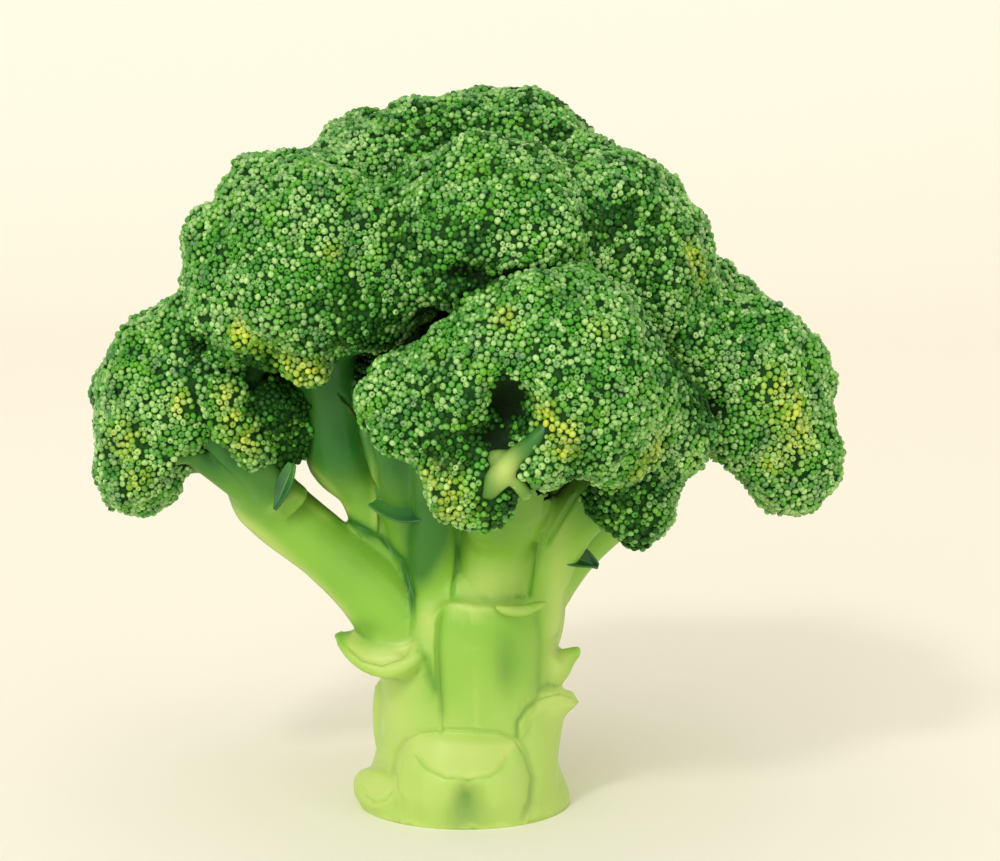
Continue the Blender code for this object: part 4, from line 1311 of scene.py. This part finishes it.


# Painted shade of the buds in the shaded spots.
BUD_SHADE = srgb(24, 66, 18)
BUD_DARK = srgb(30, 80, 22)
BUD_MIDDLE = srgb(82, 162, 48)
BUD_LIGHT = srgb(180, 223, 130)
BUD_RIPE = srgb(214, 222, 58)
BUD_FRESH = srgb(118, 190, 44)
BUD_BLUISH = srgb(34, 98, 50)
CORE_DARK = srgb(14, 50, 12)
CORE_LIGHT = srgb(27, 74, 20)
CORE_HOLLOW_SHADE = srgb(22, 42, 14)
STALK_PALE = srgb(196, 216, 118)
STALK_GREEN = srgb(134, 188, 58)
STALK_DEEP = srgb(40, 110, 36)
STALK_GROOVE_SHADE = srgb(80, 148, 40)
STALK_CUT = srgb(190, 210, 110)
LEAF_DARK = srgb(34, 94, 46)
LEAF_GREEN = srgb(70, 138, 56)
LEAF_RIB = srgb(160, 206, 84)
FLOOR_COLOUR = srgb(248, 242, 228)
FLOOR_GLOW = 0.03
SKY_COLOUR = srgb(252, 250, 242)
SKY_STRENGTH = 0.80


class Look:
    """A material in the making. A value for it is a number, a colour or another socket."""

    def __init__(self, name, **inputs):
        self.made = bpy.data.materials.new(name)
        self.made.use_nodes = True
        self.tree = self.made.node_tree
        self.set(**inputs)

    def feed(self, node, inputs):
        for key, value in inputs.items():
            if isinstance(value, bpy.types.NodeSocket):
                self.tree.links.new(value, node.inputs[key])
            else:
                node.inputs[key].default_value = value

    def set(self, **inputs):
        """Inputs of the shader, with _ for each space in their names."""
        shader = self.tree.nodes["Principled BSDF"]
        self.feed(shader, {key.replace("_", " "): value for key, value in inputs.items()})

    def node(self, kind, inputs, **settings):
        made = self.tree.nodes.new(f"ShaderNode{kind}")
        for setting, value in settings.items():
            setattr(made, setting, value)
        self.feed(made, inputs)
        return made.outputs

    def mixed(self, share, first, second):
        inputs = {0: share, 6: first, 7: second}
        return self.node("Mix", inputs, data_type="RGBA", blend_type="MIX")[2]

    def ranged(self, value, low, high, to_low=0.0, to_high=1.0):
        """A smooth step of a socket from one range to another."""
        inputs = dict(enumerate((value, low, high, to_low, to_high)))
        return self.node("MapRange", inputs, interpolation_type="SMOOTHSTEP")[0]

    def maths(self, operation, *values):
        return self.node("Math", dict(enumerate(values)), operation=operation)[0]

    def times(self, first, second):
        return self.maths("MULTIPLY", first, second)

    def painted(self, name):
        """The three numbers of a colour attribute, as sockets."""
        colour = self.node("Attribute", {}, attribute_name=name)["Color"]
        return list(self.node("SeparateColor", {0: colour}))

    def own_place(self):
        return self.node("TexCoord", {})["Object"]

    def noise(self, scale, detail=3.0, stretch=(1, 1, 1)):
        """Noise in the object's own coordinates; scale is in features per metre."""
        place = self.node("Mapping", {"Vector": self.own_place(), "Scale": stretch})["Vector"]
        return self.node("TexNoise", {"Scale": scale, "Detail": detail, "Vector": place})["Fac"]

    def noisy(self, scale, low, high):
        """Noise of the middle of its range that runs from low to high."""
        return self.ranged(self.noise(scale), 0.3, 0.7, low, high)


def bud_material():
    look = Look("buds")
    tone, ripe, rim = look.painted("bud")
    body = look.mixed(look.ranged(tone, 0.05, 0.95), BUD_DARK, BUD_MIDDLE)
    pale = look.mixed(look.ranged(tone, 0.2, 1.0), BUD_MIDDLE, BUD_LIGHT)
    # Each bud's paleness: pale shoulders, with painted shade at its foot and in an open bud's
    # middle.
    shade = look.mixed(look.ranged(rim, 0.3, 1.0), body, pale)
    bluish = look.ranged(look.noise(190, 4.0), 0.35, 0.5, 0.55, 0.0)
    shade = look.mixed(bluish, shade, BUD_BLUISH)
    fresh = look.ranged(look.noise(150, 4.0), 0.52, 0.68, 0.0, 0.6)
    shade = look.mixed(fresh, shade, BUD_FRESH)
    speck = look.ranged(look.noise(2600), 0.35, 0.7)
    shade = look.mixed(look.times(speck, 0.3), shade, BUD_DARK)
    # Painted shade: buds that the shaded spots take below tone 0.1 turn deep green.
    shade = look.mixed(look.ranged(tone, 0.0, 0.1, 0.85, 0.0), shade, BUD_SHADE)
    look.set(Base_Color=look.mixed(ripe, shade, BUD_RIPE), Roughness=look.noisy(900, 0.22, 0.4),
             Specular_IOR_Level=look.ranged(tone, 0.0, 0.4, 0.12, 0.75))
    return look.made


def core_material():
    look = Look("head_core", Specular_IOR_Level=0.2)
    bareness, _, _ = look.painted("bud")
    # The core's green, darkened to stand for the shade deep between the buds: painted shade.
    skin = look.mixed(look.ranged(look.noise(700), 0.35, 0.65), CORE_DARK, CORE_LIGHT)
    # Painted shade, darker still, in the bare hollows.
    skin = look.mixed(look.times(bareness, 0.8), skin, CORE_HOLLOW_SHADE)
    look.set(Base_Color=skin, Roughness=look.noisy(1500, 0.7, 0.9))
    return look.made


def stalk_material():
    """Pale at the foot and deep green near the heads, partly its own colour and partly painted
    shade under the crown, with the tints kept on its points.
    """
    look = Look("stalk", Specular_IOR_Level=0.35, Subsurface_Weight=0.25,
                Subsurface_Scale=0.004, Subsurface_Radius=(0.8, 1.0, 0.3))
    groove, cut, edge = look.painted("grown")
    deep, pale, _ = look.painted("tint_and_shade")
    height = look.node("SeparateXYZ", {0: look.own_place()})[2]
    uneven = look.maths("MULTIPLY_ADD", look.noise(70, 2.0), 0.024, -0.012)
    height = look.maths("ADD", height, uneven)
    skin = look.mixed(look.ranged(height, 0.004, 0.045, 0.3, 0.95), STALK_PALE, STALK_GREEN)
    # Deep green under the heads: partly the stalk's own colour, partly painted shade under the
    # crown.
    skin = look.mixed(look.ranged(height, 0.050, 0.092), skin, STALK_DEEP)
    streak = look.ranged(look.noise(380, 3.0, (1, 1, 0.08)), 0.45, 0.8, 0.0, 0.14)
    skin = look.mixed(streak, skin, STALK_GREEN)
    # Pale tints, paler ridges and pale cut faces; the deep tints are partly painted shade and the
    # grooves' darker green is painted shade.
    for share, amount, colour in (
            (pale, 0.75, STALK_PALE), (deep, 0.9, STALK_DEEP), (groove, 0.75, STALK_GROOVE_SHADE),
            (edge, 0.45, STALK_PALE), (cut, 0.85, STALK_CUT)):
        skin = look.mixed(look.times(share, amount), skin, colour)
    bump = look.node("Bump", {"Strength": 0.08, "Distance": 0.0002,
                              "Height": look.noise(1400, 4.0, (1, 1, 0.25))})
    look.set(Base_Color=skin, Roughness=look.noisy(300, 0.36, 0.5), Normal=bump["Normal"])
    return look.made


def leaf_material():
    """Dark green to the tip, lighter at the root, with a pale midrib."""
    look = Look("small_leaf", Subsurface_Weight=0.15, Subsurface_Scale=0.002)
    share, off_rib, _ = look.painted("leaf")
    skin = look.mixed(look.ranged(share, 0.0, 0.6), LEAF_GREEN, LEAF_DARK)
    skin = look.mixed(look.ranged(look.noise(260), 0.35, 0.65, 0.0, 0.3), skin, LEAF_GREEN)
    rib = look.ranged(off_rib, 0.02, 0.14, 0.5, 0.0)
    rib = look.times(rib, look.ranged(share, 0.4, 1.0, 1.0, 0.2))
    look.set(Base_Color=look.mixed(rib, skin, LEAF_RIB), Roughness=look.noisy(500, 0.4, 0.55))
    return look.made


def stage_material():
    return Look("paper", Base_Color=FLOOR_COLOUR, Roughness=0.9, Emission_Color=FLOOR_COLOUR,
                Emission_Strength=FLOOR_GLOW).made


# Stage, light and camera, in metres.

STAGE_SIZE = 3.0
BEND_START, BEND_RADIUS, BEND_STEPS = 0.9, 0.5, 16
# Name, place, power and size.
LIGHTS = [
    ("key", (-1.2, -2.8, 1.4), 28.0, 2.0), ("spark", (-0.8, -1.7, 1.6), 12.0, 0.3),
    ("fill", (2.2, -2.2, 0.9), 10.0, 1.6),
]
LIGHT_TARGET = (0, 0, 0.08)


def build_stage():
    """A pale floor that bends up into a backdrop."""
    turns = math.pi / 2 * np.arange(BEND_STEPS + 1) / BEND_STEPS
    bend = zip(BEND_START + BEND_RADIUS * np.sin(turns), BEND_RADIUS * (1 - np.cos(turns)))
    rows = [(-STAGE_SIZE, 0.0), *bend, (BEND_START + BEND_RADIUS, STAGE_SIZE)]
    bm = bmesh.new()
    pairs = [[bm.verts.new((x, y, z)) for x in (-STAGE_SIZE, STAGE_SIZE)] for y, z in rows]
    for low, high in zip(pairs, pairs[1:]):
        bm.faces.new((low[0], low[1], high[1], high[0])).smooth = True
    floor = new_object("floor", mesh_of(bm, "floor"))
    floor.data.materials.append(stage_material())


def aimed(data, place, target):
    """An object for a light or a camera that looks from a place to its target."""
    holder = new_object(data.name, data)
    holder.location = place
    holder.rotation_mode = "QUATERNION"
    holder.rotation_quaternion = (Vector(target) - Vector(place)).to_track_quat("-Z", "Y")
    return holder


def build_light():
    world = bpy.data.worlds.new("studio")
    world.use_nodes = True
    sky = world.node_tree.nodes["Background"]
    sky.inputs["Color"].default_value = SKY_COLOUR
    sky.inputs["Strength"].default_value = SKY_STRENGTH
    bpy.context.scene.world = world
    for name, place, power, size in LIGHTS:
        lamp = bpy.data.lights.new(name, "AREA")
        lamp.shape = "SQUARE"
        lamp.size = size
        lamp.energy = power
        aimed(lamp, place, LIGHT_TARGET)
    bpy.context.scene.view_settings.view_transform = "Standard"


def build_camera():
    camera = bpy.data.cameras.new("camera")
    camera.lens = CAMERA_LENS
    camera.sensor_width = CAMERA_SENSOR
    camera.clip_start = 0.01
    bpy.context.scene.camera = aimed(camera, CAMERA_PLACE * MM, CAMERA_TARGET * MM)


def main():
    for old in list(bpy.data.objects):
        bpy.data.objects.remove(old, do_unlink=True)
    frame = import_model()
    build_camera()
    build_light()
    build_stage()
    skins = [crown_skin(names, closing, frame["nodes"]) for names, closing in CROWN_GROUPS]
    skin_of = {name: skin for skin in skins for name in skin["names"]}
    stalk = build_stalk(skin_of, [skin["tree"] for skin in skins], stalk_material())
    leaf_skin = leaf_material()
    leaves = [(photo_place(*root), photo_place(*tip), *rest) for root, tip, *rest in SEEN_LEAVES]
    for number, leaf in enumerate(leaves + BACK_LEAVES):
        small_leaf(number, leaf, leaf_skin)
    build_heads(skins, stalk)


main()
